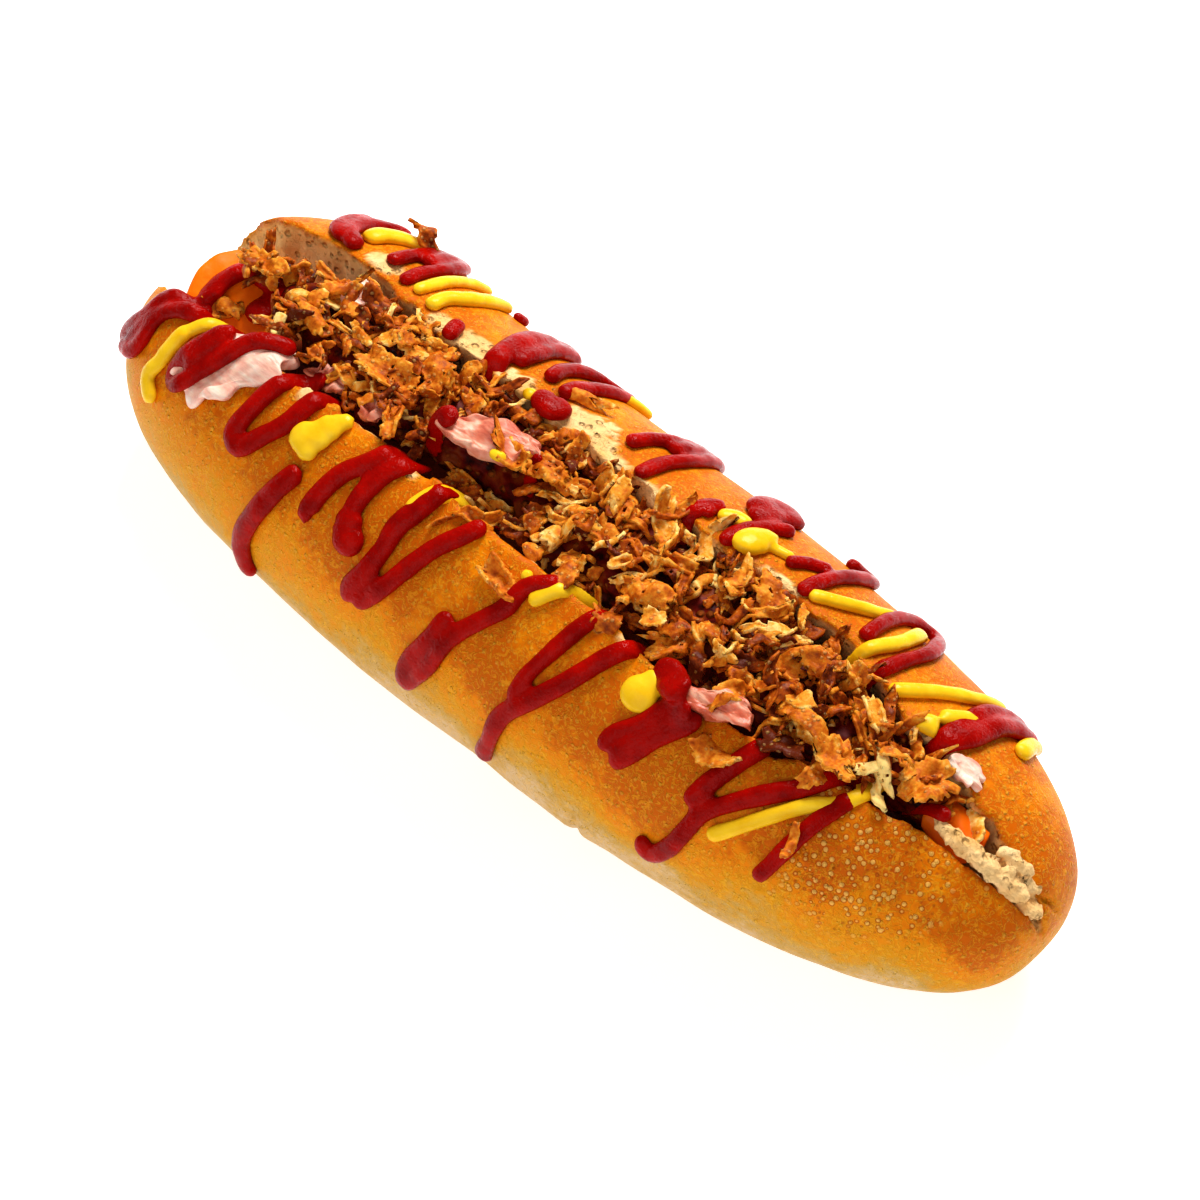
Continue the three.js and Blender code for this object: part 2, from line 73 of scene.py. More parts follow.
def crust_points(x, girth, lift=0.0):
    """Points on the uncut crust, in millimetres."""
    x, girth = np.broadcast_arrays(np.asarray(x, float), np.asarray(girth, float))
    u = np.clip(x / HALF_LENGTH, -1, 1)
    across, up = np.sin(np.radians(girth)), np.cos(np.radians(girth))
    half = HALF_WIDTH * plan_share(u, across > 0) + lift
    power = np.where(u < 0, 3.0, 2.6)
    rise = np.maximum(0, 1 - np.abs(u) ** power) ** (1 / power)
    ear = np.exp(-(((u - EAR_AT) / EAR_SPREAD) ** 2)) * np.sqrt(np.maximum(0, 1 - u**8))
    rise = rise + np.where(across > 0.15, EAR * ear, 0)
    round_off = 2 / np.where(up > 0, 2.15, 2.5)
    reach = np.where(up > 0, RISE_ABOVE, RISE_BELOW) * rise + lift
    y = half * np.sign(across) * np.abs(across) ** round_off
    z = TIP_HEIGHT + reach * np.sign(up) * np.abs(up) ** round_off
    return np.stack([x, y, np.maximum(z, 0)], axis=-1)


def crust_normals(x, girth):
    along = crust_points(np.asarray(x) + 0.5, girth) - crust_points(np.asarray(x) - 0.5, girth)
    around = crust_points(x, np.asarray(girth) + 1) - crust_points(x, np.asarray(girth) - 1)
    out = np.cross(along, around)
    return out / np.linalg.norm(out, axis=-1, keepdims=True)


def cut_at(x):
    """The cut's near y, far y, floor and slope at each x, blended smoothly between the stations."""
    x = np.clip(x, CUT_STATIONS[0, 0], CUT_STATIONS[-1, 0] - 0.01)
    row = np.searchsorted(CUT_STATIONS[:, 0], x, side="right") - 1
    before, after = CUT_STATIONS[row], CUT_STATIONS[row + 1]
    share = (x - before[..., 0]) / (after[..., 0] - before[..., 0])
    share = (share * share * (3 - 2 * share))[..., None]
    return np.moveaxis(before + (after - before) * share, -1, 0)[1:]


def rough(points, grain, seed=0.0):
    """Smooth noise of about -1 to 1 at each point, with lumps one grain across."""
    shift = Vector((seed, seed * 1.7, seed * 0.3))
    return np.array([noise.noise(Vector(point) / grain + shift) for point in points])


def lumpy(a, b, c):
    """Smooth noise of about -1 to 1 at one place."""
    return noise.noise(Vector((a, b, c)))


def smooth_share(low, high, value):
    share = np.clip((value - low) / (high - low), 0, 1)
    return share * share * (3 - 2 * share)


def points_of(mesh):
    points = np.empty(len(mesh.vertices) * 3)
    mesh.vertices.foreach_get("co", points)
    return points.reshape(-1, 3) / MM


def normals_of(mesh):
    normals = np.empty(len(mesh.vertices) * 3)
    mesh.vertex_normals.foreach_get("vector", normals)
    return normals.reshape(-1, 3)


def move_points(mesh, points):
    mesh.vertices.foreach_set("co", (points * MM).ravel())
    mesh.update()


def record_on(mesh, name, values):
    """Keeps one number a vertex, which the piece's material reads by name."""
    mesh.attributes.new(name, "FLOAT", "POINT").data.foreach_set("value", np.asarray(values, float))


def bend_to(shape, place):
    """Moves each vertex of a bmesh to where place puts it, in millimetres."""
    for vert in shape.verts:
        vert.co = Vector(place(*vert.co)) * MM


def piece_from(name, shape):
    """A piece from a finished bmesh, with smooth faces that point outwards."""
    bmesh.ops.recalc_face_normals(shape, faces=shape.faces)
    mesh = bpy.data.meshes.new(name)
    shape.to_mesh(mesh)
    shape.free()
    mesh.shade_smooth()
    piece = bpy.data.objects.new(name, mesh)
    scene.collection.objects.link(piece)
    return piece


def apply_modifiers(piece):
    depsgraph = bpy.context.evaluated_depsgraph_get()
    mesh = bpy.data.meshes.new_from_object(piece.evaluated_get(depsgraph))
    piece.modifiers.clear()
    piece.data = mesh
    mesh.shade_smooth()


def remesh(piece, cell):
    """Melts all that a piece is made of into one even skin."""
    melt = piece.modifiers.new("Melt together", "REMESH")
    melt.mode = "VOXEL"
    melt.voxel_size = cell * MM
    apply_modifiers(piece)


whole = bmesh.new()
bmesh.ops.create_uvsphere(whole, u_segments=150, v_segments=140, radius=1)
angles = {vert: math.degrees(math.atan2(vert.co.y, vert.co.x)) for vert in whole.verts}
for vert in whole.verts:
    vert.co = Vector(crust_points(HALF_LENGTH * vert.co.z, angles[vert])) * MM
bread = piece_from("bread", whole)
whole_crust = BVHTree.FromObject(bread, bpy.context.evaluated_depsgraph_get())

trough = bmesh.new()
bmesh.ops.create_cube(trough, size=1)
for axis, cuts in ((0, 190), (2, 14)):
    edges = [e for e in trough.edges if abs((e.verts[0].co - e.verts[1].co)[axis]) > 0.5]
    bmesh.ops.subdivide_edges(trough, edges=edges, cuts=cuts, use_grid_fill=True)


def cut_place(a, b, c):
    x = -140 + 272 * (a + 0.5)
    share = c + 0.5
    near, far, floor, slope = cut_at(x)
    ragged = 0.7 * math.sin(x * 0.37) + 0.5 * math.sin(x * 0.83 + 1)
    torn = 1.5 * lumpy(x / 5, b * 9, share * 9)
    torn += 1.0 * lumpy(x / 2.2, b * 9, share * 20)
    half = (far - near) / 2 * (0.12 + 0.88 * min(1, share / 0.62) ** slope) + torn * min(1, (140 - x) / 30)
    return x, (near + far) / 2 + 2 * b * half + ragged * share, floor + (CUT_CEILING - floor) * share


bend_to(trough, cut_place)
trough_piece = piece_from("trough", trough)
opening = bread.modifiers.new("Cut open", "BOOLEAN")
opening.operation = "DIFFERENCE"
opening.solver = "MANIFOLD"
opening.object = trough_piece
apply_modifiers(bread)
bpy.data.objects.remove(trough_piece)
remesh(bread, 1.0)

points = points_of(bread.data)
x, y, z = points.T
outward = normals_of(bread.data)
depth = np.array([whole_crust.find_nearest(Vector(point) * MM)[3] for point in points]) / MM
crumb = smooth_share(0.5, 1.5, depth)
# Where the crust tore off beside the cut: x, y, and half its length and width.
TORN_LIPS = [
    (-59, 18, 4, 3), (-50, 17, 6, 4.5), (-36, 16, 5, 4), (-17, 17, 8, 6), (-8, 14, 7, 3), (87, 8, 5, 4),
    (5, 14, 5, 2), (40, 15, 6, 2), (-40, -16, 5, 2.5), (19, -17, 3, 2), (27, -17, 3, 2), (-82, 24, 5, 3),
    (-66, -15, 3, 2),
]
ragged = 0.5 * rough(points, 2.4, 41) + 0.5 * rough(points, 1.2, 43)
for torn_x, torn_y, half_long, half_wide in TORN_LIPS:
    away = ((x - torn_x) / half_long) ** 2 + ((y - torn_y) / half_wide) ** 2
    bare = smooth_share(0.75, 1.05, 2 - away + ragged) * (z > 30)
    crumb = np.maximum(crumb, bare)
    depth = depth + 4 * bare
lumps = 0.6 * rough(points, 28) + 0.25 * rough(points, 9, 3)
torn = 0.9 * rough(points, 5, 5) + 0.6 * rough(points, 2.2, 7)
crease = 1.1 * np.exp(-(((x - 30 - 0.12 * z) / 1.3) ** 2)) * (y < 0)
crease *= smooth_share(26, 18, z) * smooth_share(1, 5, z)
crack_at = y - 2.5 - 0.9 * (x - 121) + 0.7 * rough(points, 2.5, 21)
crack = np.exp(-((crack_at / 0.8) ** 2)) * smooth_share(119, 122, x) * smooth_share(26, 32, z)
blistered = np.exp(-(((x - 94) / 20) ** 2)) * smooth_share(24, 36, z) * (y < 0)
blisters = 0.45 * blistered * np.maximum(0, rough(points, 3.2, 9) - 0.15) * 3 - 1.5 * crack
move = (1 - crumb) * (lumps + blisters - crease) + crumb * torn
move *= smooth_share(0.0, 2.5, z)
points += outward * move[:, None]
points[:, 2] = np.maximum(z, 0)
move_points(bread.data, points)
patches = rough(points, 30, 13) + 0.6 * rough(points, 11, 15)
closed_end = smooth_share(80, 120, x)
bake = smooth_share(10 - 6 * closed_end, 44 - 9 * closed_end, z + 6 * patches)
bake *= 1 - 0.55 * np.exp(-(((x - 20) / 9) ** 2)) * (y < 0) * smooth_share(24, 12, z)
record_on(bread.data, "crumb", crumb)
record_on(bread.data, "toasted", smooth_share(6, 0.5, depth))
record_on(bread.data, "bake", bake)
record_on(bread.data, "blistered", smooth_share(0.35, 0.75, blistered + 0.4 * rough(points, 8, 31)))
record_on(bread.data, "pitted", np.ones(len(points)))


def shade(tree, kind, feeds=None, **settings):
    """Adds a shader node. Each feed is a number, a colour or the output of another node."""
    step = tree.nodes.new("ShaderNode" + kind)
    for name, value in settings.items():
        setattr(step, name, value)
    for name, value in (feeds or {}).items():
        if isinstance(value, bpy.types.NodeSocket):
            tree.links.new(value, step.inputs[name])
        else:
            step.inputs[name].default_value = value
    return step


def tint(share, stops):
    """A colour ramp: stops are (place, red, green, blue)."""
    ramp = shade(share.id_data, "ValToRGB", {"Fac": share})
    elements = ramp.color_ramp.elements
    while len(elements) < len(stops):
        elements.new(0.5)
    for element, (at, *colour) in zip(elements, stops):
        element.position = at
        element.color = (*colour, 1)
    return ramp.outputs["Color"]


def mixed(share, first, second):
    return shade(share.id_data, "Mix", {0: share, 6: first, 7: second}, data_type="RGBA").outputs[2]


def sums(operation, first, second):
    return shade(first.id_data, "Math", {0: first, 1: second}, operation=operation).outputs[0]


def times(first, second):
    return sums("MULTIPLY", first, second)


def spread(value, low, high, to_low=0.0, to_high=1.0):
    feeds = {"Value": value, "From Min": low, "From Max": high, "To Min": to_low, "To Max": to_high}
    return shade(value.id_data, "MapRange", feeds, interpolation_type="SMOOTHSTEP").outputs[0]


def mark(surface, name):
    """What record_on kept under a name."""
    return shade(surface.id_data, "Attribute", attribute_name=name).outputs["Fac"]


def grain(place, size, detail=3.0, swirl=0.0):
    """Noise from 0 to 1 with lumps of a size in millimetres, which swirl draws out into curls."""
    feeds = {"Vector": place, "Scale": 1 / (size * MM), "Detail": detail, "Distortion": swirl}
    return shade(place.id_data, "TexNoise", feeds).outputs["Fac"]


def bump(height, tall, below=None):
    """Relief whose height from 0 to 1 stands for tall millimetres."""
    feeds = {"Height": height, "Strength": 1.0, "Distance": tall * MM}
    if below is not None:
        feeds["Normal"] = below
    return shade(height.id_data, "Bump", feeds).outputs["Normal"]


def new_finish(name):
    """A material, its surface and the place of each point on its piece."""
    material = bpy.data.materials.new(name)
    material.use_nodes = True
    tree = material.node_tree
    return material, tree.nodes["Principled BSDF"], shade(tree, "TexCoord").outputs["Object"]


def feed(surface, **values):
    for name, value in values.items():
        socket = surface.inputs[name.replace("_", " ")]
        if isinstance(value, bpy.types.NodeSocket):
            surface.id_data.links.new(value, socket)
        else:
            socket.default_value = value


def new_effect(name, inputs, outputs):
    """A shader node group with named inputs and outputs, for an effect that several finishes use."""
    group = bpy.data.node_groups.new(name, "ShaderNodeTree")
    for socket, kind in inputs.items():
        group.interface.new_socket(socket, in_out="INPUT", socket_type="NodeSocket" + kind)
    for socket in outputs:
        group.interface.new_socket(socket, in_out="OUTPUT", socket_type="NodeSocketFloat")
    return group, group.nodes.new("NodeGroupInput").outputs, group.nodes.new("NodeGroupOutput").inputs


# Bubbles that rise in hot dough or batter: round spots of uneven size, with the share that has one set by
# cover. Each also gives a thin ring around its dome, for painted shade where the dome meets the surface.
inputs = {"Place": "Vector", "Scale": "Float", "Cover": "Float"}
bubbles, given, result = new_effect("Bubbles", inputs, ["Spot", "Shade ring", "Height"])
cells = shade(bubbles, "TexVoronoi", {"Vector": given["Place"], "Scale": given["Scale"]})
draw = shade(bubbles, "SeparateColor", {"Color": cells.outputs["Color"]})
size = spread(sums("SUBTRACT", given["Cover"], draw.outputs[0]), 0.0, 0.5, 0.0, 0.42)
dome = sums("SUBTRACT", size, cells.outputs["Distance"])
bubbles.links.new(spread(dome, 0.0, 0.12), result["Spot"])
outer, inner = spread(dome, -0.14, -0.02), spread(dome, 0.0, 0.1, 1.0, 0.0)
# The thin ring around each dome, which a finish darkens as painted shade.
rim = times(outer, inner)
bubbles.links.new(times(rim, spread(size, 0.02, 0.1)), result["Shade ring"])
bubbles.links.new(spread(dome, -0.02, 0.3), result["Height"])


def bubbled(place, size, cover):
    feeds = {"Place": place, "Scale": 1 / (size * MM), "Cover": cover}
    step = shade(place.id_data, "Group", feeds, node_tree=bubbles)
    return step.outputs["Spot"], step.outputs["Shade ring"], step.outputs["Height"]


crust_finish, surface, place = new_finish("Baked crust")
blotches = grain(place, 14, 4)
speckle = grain(place, 2.2, 3)
spots, _, spot_height = bubbled(place, 1.3, 0.7)
big_spots, painted_ring_shade, big_height = bubbled(place, 1.5, 0.95)
blistered = mark(surface, "blistered")
wrinkle = sums("SUBTRACT", grain(place, 1.7, 2, 1.2), 0.5)
wrinkle = spread(sums("ABSOLUTE", wrinkle, 0.0), 0.0, 0.07, 1.0, 0.0)
shown_bake = sums("ADD", mark(surface, "bake"), spread(blotches, 0.2, 0.8, -0.22, 0.22))
shown_bake = sums("ADD", shown_bake, spread(speckle, 0.2, 0.8, -0.12, 0.12))
crust_colour = tint(shown_bake, [
    (0.0, 0.68, 0.45, 0.22), (0.25, 0.58, 0.33, 0.07), (0.5, 0.70, 0.29, 0.005), (0.8, 0.80, 0.235, 0.0),
    (1.0, 0.60, 0.13, 0.0),
])
crust_colour = mixed(times(wrinkle, 0.4), crust_colour, (0.84, 0.44, 0.02, 1))
crust_colour = mixed(times(spots, 0.3), crust_colour, (0.88, 0.52, 0.05, 1))
shown = times(blistered, 0.75)
# Painted shade: a dark ring around each large blister, where its dome meets the crust.
crust_colour = mixed(times(painted_ring_shade, shown), crust_colour, (0.42, 0.08, 0.002, 1))
crust_colour = mixed(times(big_spots, shown), crust_colour, (0.88, 0.52, 0.13, 1))
pores, _, pore_height = bubbled(place, 2.4, 0.85)
pitted = mark(surface, "pitted")
crumb_colour = tint(grain(place, 6, 4), [(0.3, 0.85, 0.48, 0.17), (0.7, 0.97, 0.69, 0.35)])
# Painted shade: the crumb is darker inside its pores.
pore_shade = times(pores, times(pitted, 0.24))
crumb_colour = mixed(pore_shade, crumb_colour, (0.66, 0.33, 0.09, 1))
toasted = times(mark(surface, "toasted"), 0.45)
crumb_colour = mixed(toasted, crumb_colour, (0.80, 0.44, 0.12, 1))
is_crumb = mark(surface, "crumb")
skin = bump(sums("ADD", spot_height, times(big_height, blistered)), 0.26)
skin = bump(wrinkle, 0.09, skin)
skin = bump(grain(place, 0.8, 3), 0.12, skin)
holes = times(pore_height, times(is_crumb, pitted))
holes = shade(place.id_data, "Math", {0: 1.0, 1: holes}, operation="SUBTRACT").outputs[0]
feed(surface, Base_Color=mixed(is_crumb, crust_colour, crumb_colour),
     Roughness=spread(is_crumb, 0, 1, 0.46, 0.9), Normal=bump(holes, 1.1, skin),
     Specular_IOR_Level=0.09)
bread.data.materials.clear()
bread.data.materials.append(crust_finish)
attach(bread, "root")
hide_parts("roll")

# The strands of torn crumb still hold the slit together at the closed end: they are soft white bread,
# pulled thin and ragged when the roll was opened, and still joined to both halves.
# Each strand: the place of its middle, length, thickness and heading.
CRUMB_STRANDS = [
    (101, -4.4, 46, 9, 2.6, -0.3), (105, -4, 45, 10, 3.4, -0.1), (109, -3.6, 43.4, 10, 3.8, -0.2),
    (113, -3, 41.2, 10, 3.8, 0.1), (117, -1.8, 38, 9, 4.2, 0.3), (120.5, -0.4, 33, 7, 4.4, 0.4),
    (112.5, 2.8, 41.4, 6, 2.4, 1), (115, 2.6, 39.6, 8, 3.4, 0.2), (118, 2, 36, 7, 3.6, 0.5),
    (114, 0, 37.5, 10, 5, 0.2), (105, -2.6, 44.2, 4, 1.6, 1.1), (110, -1.8, 42.4, 5, 1.8, 0.9),
    (115, -0.2, 40.6, 5, 2, 1.2), (103, -5.6, 46, 3.5, 1.4, -1), (108, -5, 44.6, 3.5, 1.4, -0.9),
]
strands = bmesh.new()
for number, (x, y, z, length, thick, heading) in enumerate(CRUMB_STRANDS):
    tuft = bmesh.ops.create_icosphere(strands, subdivisions=4, radius=1)["verts"]
    for vert in tuft:
        lump = 1 + 0.5 * noise.noise(vert.co * 2.2 + Vector((number * 7, 0, 0)))
        lump += 0.3 * noise.noise(vert.co * 5 + Vector((0, number * 7, 0)))
        across, up = vert.co.y * thick / 2 * lump, vert.co.z * thick / 2.4 * lump
        vert.co = Vector((vert.co.x * length / 2, across, up))
    turn = Matrix.Rotation(heading, 3, "Z") @ Matrix.Rotation(0.4, 3, "Y")
    bmesh.ops.rotate(strands, verts=tuft, cent=(0, 0, 0), matrix=turn)
    bmesh.ops.translate(strands, verts=tuft, vec=(x, y, z))
bmesh.ops.scale(strands, vec=(MM, MM, MM), verts=strands.verts)
torn_crumb = piece_from("torn_crumb", strands)
remesh(torn_crumb, 0.4)
points, outward = points_of(torn_crumb.data), normals_of(torn_crumb.data)
ragged = 0.45 * rough(points, 2.6, 51) + 0.25 * rough(points, 1.1, 53)
move_points(torn_crumb.data, points + outward * ragged[:, None])
record_on(torn_crumb.data, "crumb", np.ones(len(points)))
record_on(torn_crumb.data, "pitted", np.full(len(points), 0.7))
toasted = smooth_share(-0.1, 0.6, rough(points, 3.5, 61)) * smooth_share(38, 46, points[:, 2])
record_on(torn_crumb.data, "toasted", toasted)
torn_crumb.data.materials.clear()
torn_crumb.data.materials.append(crust_finish)
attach(torn_crumb, "root")
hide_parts("roll")

# The sausage lies along the bottom of the cut: a boiled one in a thin tight skin, which shines with fat
# and wrinkles a little as it cools.
SAUSAGE_RADIUS, SAUSAGE_START, SAUSAGE_END, SAUSAGE_HEIGHT = 10.5, -103.0, 92.0, 30.0
link = bmesh.new()
bmesh.ops.create_uvsphere(link, u_segments=48, v_segments=120, radius=1)


def sausage_place(a, b, c):
    x = SAUSAGE_START + (SAUSAGE_END - SAUSAGE_START) * (1 - c) / 2
    around = math.hypot(a, b)
    radius = SAUSAGE_RADIUS * min(1, around * 1.25) / max(around, 1e-6)
    wrinkle = 1 + 0.02 * lumpy(x / 3, a * 2, b * 2)
    return x, 1.2 * math.sin(x * 0.03) - 1 + radius * wrinkle * a, SAUSAGE_HEIGHT + radius * wrinkle * b


bend_to(link, sausage_place)
sausage = piece_from("sausage_link", link)
sausage_finish, surface, place = new_finish("Sausage skin")
skin_colour = tint(grain(place, 9, 4), [(0.3, 0.17, 0.018, 0.005), (0.7, 0.34, 0.06, 0.016)])
feed(surface, Base_Color=skin_colour,
     Roughness=spread(grain(place, 5), 0.3, 0.7, 0.2, 0.38),
     Normal=bump(grain(place, 1.6), 0.15), Specular_IOR_Level=0.16)
sausage.data.materials.append(sausage_finish)
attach(sausage, "root")
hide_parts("sausage")

# The cheese shows at both ends and at the right of the heap: slices of orange cheddar, cut thick, laid
# over the sausage and softened by its heat, so that their corners are round and droop.
# Each slice: middle x, half length, half width, y, z, lean across and rise along.
CHEESE_SLICES = {
    "cheese_left": (-101, 13, 9.5, 0, 42.5, 0.12, -0.04),
    "cheese_right": (74, 11, 7.5, -2, 44.5, 0.35, 0.1),
    "cheese_tip": (101, 7, 4, -0.5, 42.6, 0.3, -0.2),
}
cheese_finish, surface, place = new_finish("Cheese")
cheese_colour = tint(grain(place, 12, 3), [(0.3, 0.89, 0.14, 0.001), (0.7, 0.96, 0.22, 0.003)])
feed(surface, Base_Color=cheese_colour,
     Roughness=spread(grain(place, 3), 0.3, 0.7, 0.3, 0.5),
     Normal=bump(grain(place, 2.5), 0.2), Subsurface_Weight=0.12, Subsurface_Scale=0.003,
     Specular_IOR_Level=0.14)


def slice_piece(name, cells_long, cells_wide, thickness, place_on):
    """A slice with round corners, whose middle follows place_on(p, q) for p and q of -1 to 1."""
    shape = bmesh.new()
    outward = shape.verts.layers.float_vector.new("outward")
    bmesh.ops.create_grid(shape, x_segments=cells_long, y_segments=cells_wide, size=1)
    for vert in shape.verts:
        a, b = vert.co.x, vert.co.y
        p, q = a * math.sqrt(1 - b * b / 3.2), b * math.sqrt(1 - a * a / 3.2)
        along = Vector(place_on(p + 0.4, q)) - Vector(place_on(p - 0.4, q))
        across = Vector(place_on(p, q + 0.4)) - Vector(place_on(p, q - 0.4))
        out = along.cross(across).normalized()
        vert[outward] = out if out.z > 0 else -out
        vert.co = Vector(place_on(p, q)) * MM
    raised = set(bmesh.ops.extrude_face_region(shape, geom=shape.faces[:])["geom"])
    for vert in shape.verts:
        vert.co += vert[outward] * (thickness / 2 if vert in raised else -thickness / 2) * MM
    piece = piece_from(name + "_slice", shape)
    soften = piece.modifiers.new("Soft edges", "SUBSURF")
    soften.levels = soften.render_levels = 1
    apply_modifiers(piece)
    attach(piece, "root")
    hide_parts(name)
    return piece


for name, (x, half_long, half_wide, y, z, lean, rise) in CHEESE_SLICES.items():

    def cheese_place(p, q):
        flat = z + rise * p * half_long + lean * q * half_wide
        wave = 0.8 * lumpy(p * 2, q * 2, x)
        return x + p * half_long, y + q * half_wide, flat - 2.4 * q * q + wave

    piece = slice_piece(name, 22, 16, 2.6, cheese_place)
    piece.data.materials.append(cheese_finish)

# The ham shows in seven places: moist cooked ham in thin slices, folded and rolled into the cut, pale and
# pink with darker strands of muscle, and torn where it was pulled over the lips.
# Each slice: middle x and girth, half length and half girth, how far its edges lie askew in x and in
# girth, lift, sag over the cut, wave and thickness.
HAM_SLICES = {
    "ham_left": (-86, -29, 9, 21, 6, 0, 1.4, 9, 0.9, 1.8),
    "ham_fold": (-68, -9, 5, 7, 0, 0, -5, 0, 0.8, 2.4),
    "ham_curl": (-54, -9, 3.6, 7, 0, 0, -3.5, 0, 1.2, 2.4),
    "ham_middle": (-27, 0, 11, 4.5, -3, 5, 1.2, 0, 1, 2.6),
    "ham_right": (51.5, -22.5, 7.5, 4, -2, 3.5, 2.4, 0, 0.3, 4.6),
    "ham_white": (-78, 15, 4, 6, 0, 0, -0.5, 0, 0.5, 2),
    "ham_tip": (96, 13, 4, 5, 0, 0, 1, 0, 0.4, 1.8),
}
PALE_HAM = ("ham_left", "ham_white", "ham_tip")


def ham_finish_of(name, pale, pink, deep):
    material, surface, place = new_finish(name)
    feeds = {"Vector": place, "Scale": (0.35, 1.0, 1.0), "Rotation": (0, 0, 0.3)}
    stretched = shade(place.id_data, "Mapping", feeds)
    strands = grain(stretched.outputs[0], 2.2, 4)
    patches = grain(place, 9, 3)
    marbled = sums("ADD", times(strands, 0.6), times(patches, 0.4))
    colour = tint(marbled, [(0.36, *deep), (0.5, *pink), (0.6, *pale)])
    feed(surface, Base_Color=colour, Roughness=spread(strands, 0.3, 0.7, 0.28, 0.5),
         Normal=bump(strands, 0.6), Subsurface_Weight=0.15, Subsurface_Scale=0.002,
         Specular_IOR_Level=0.35)
    return material


pink_ham = ham_finish_of("Pink ham", (0.88, 0.50, 0.36), (0.76, 0.26, 0.16), (0.46, 0.07, 0.035))
deep_ham = ham_finish_of("Deep pink ham", (0.84, 0.42, 0.28), (0.68, 0.17, 0.09), (0.42, 0.05, 0.02))
pale_ham = ham_finish_of("Pale ham", (0.95, 0.74, 0.60), (0.92, 0.55, 0.42), (0.78, 0.33, 0.24))
for name, (x, girth, half_long, half_girth, slant, askew, lift, sag, wave, thickness) in HAM_SLICES.items():

    def ham_place(p, q):
        torn = 1 + 0.4 * lumpy(p * 2.2, q * 2.2, x + 9) - 0.06 * (p * p + q * q)
        at_x, at_girth = x + p * half_long * torn + q * slant, girth + q * half_girth * torn + p * askew
        ripple = wave * math.sin(4 * p + 2 * q) + 0.5 * wave * math.sin(6 * q - p)
        ripple += 0.9 * wave * lumpy(p * 3, q * 2, x)
        creases = 0.45 * lumpy(p * 9, q * 5, x) + 0.5 * lumpy(p * 2, q * 7, x)
        ripple += min(1, half_long / 9) ** 2 * creases
        point = crust_points(at_x, at_girth, lift + ripple)
        point[2] -= sag * float(smooth_share(0, 1, (at_girth + 20) / 20))
        return point

    piece = slice_piece(name, 30, 18, thickness, ham_place)
    finish = pale_ham if name in PALE_HAM else deep_ham if name == "ham_right" else pink_ham
    piece.data.materials.append(finish)

# The ketchup was piped from a squeeze bottle in zigzags across the roll, in beads as thick as a pencil,
# which run out over the crust on both sides, turn in a round blob and come back over the filling.
KETCHUP_WIDTH = 4.6
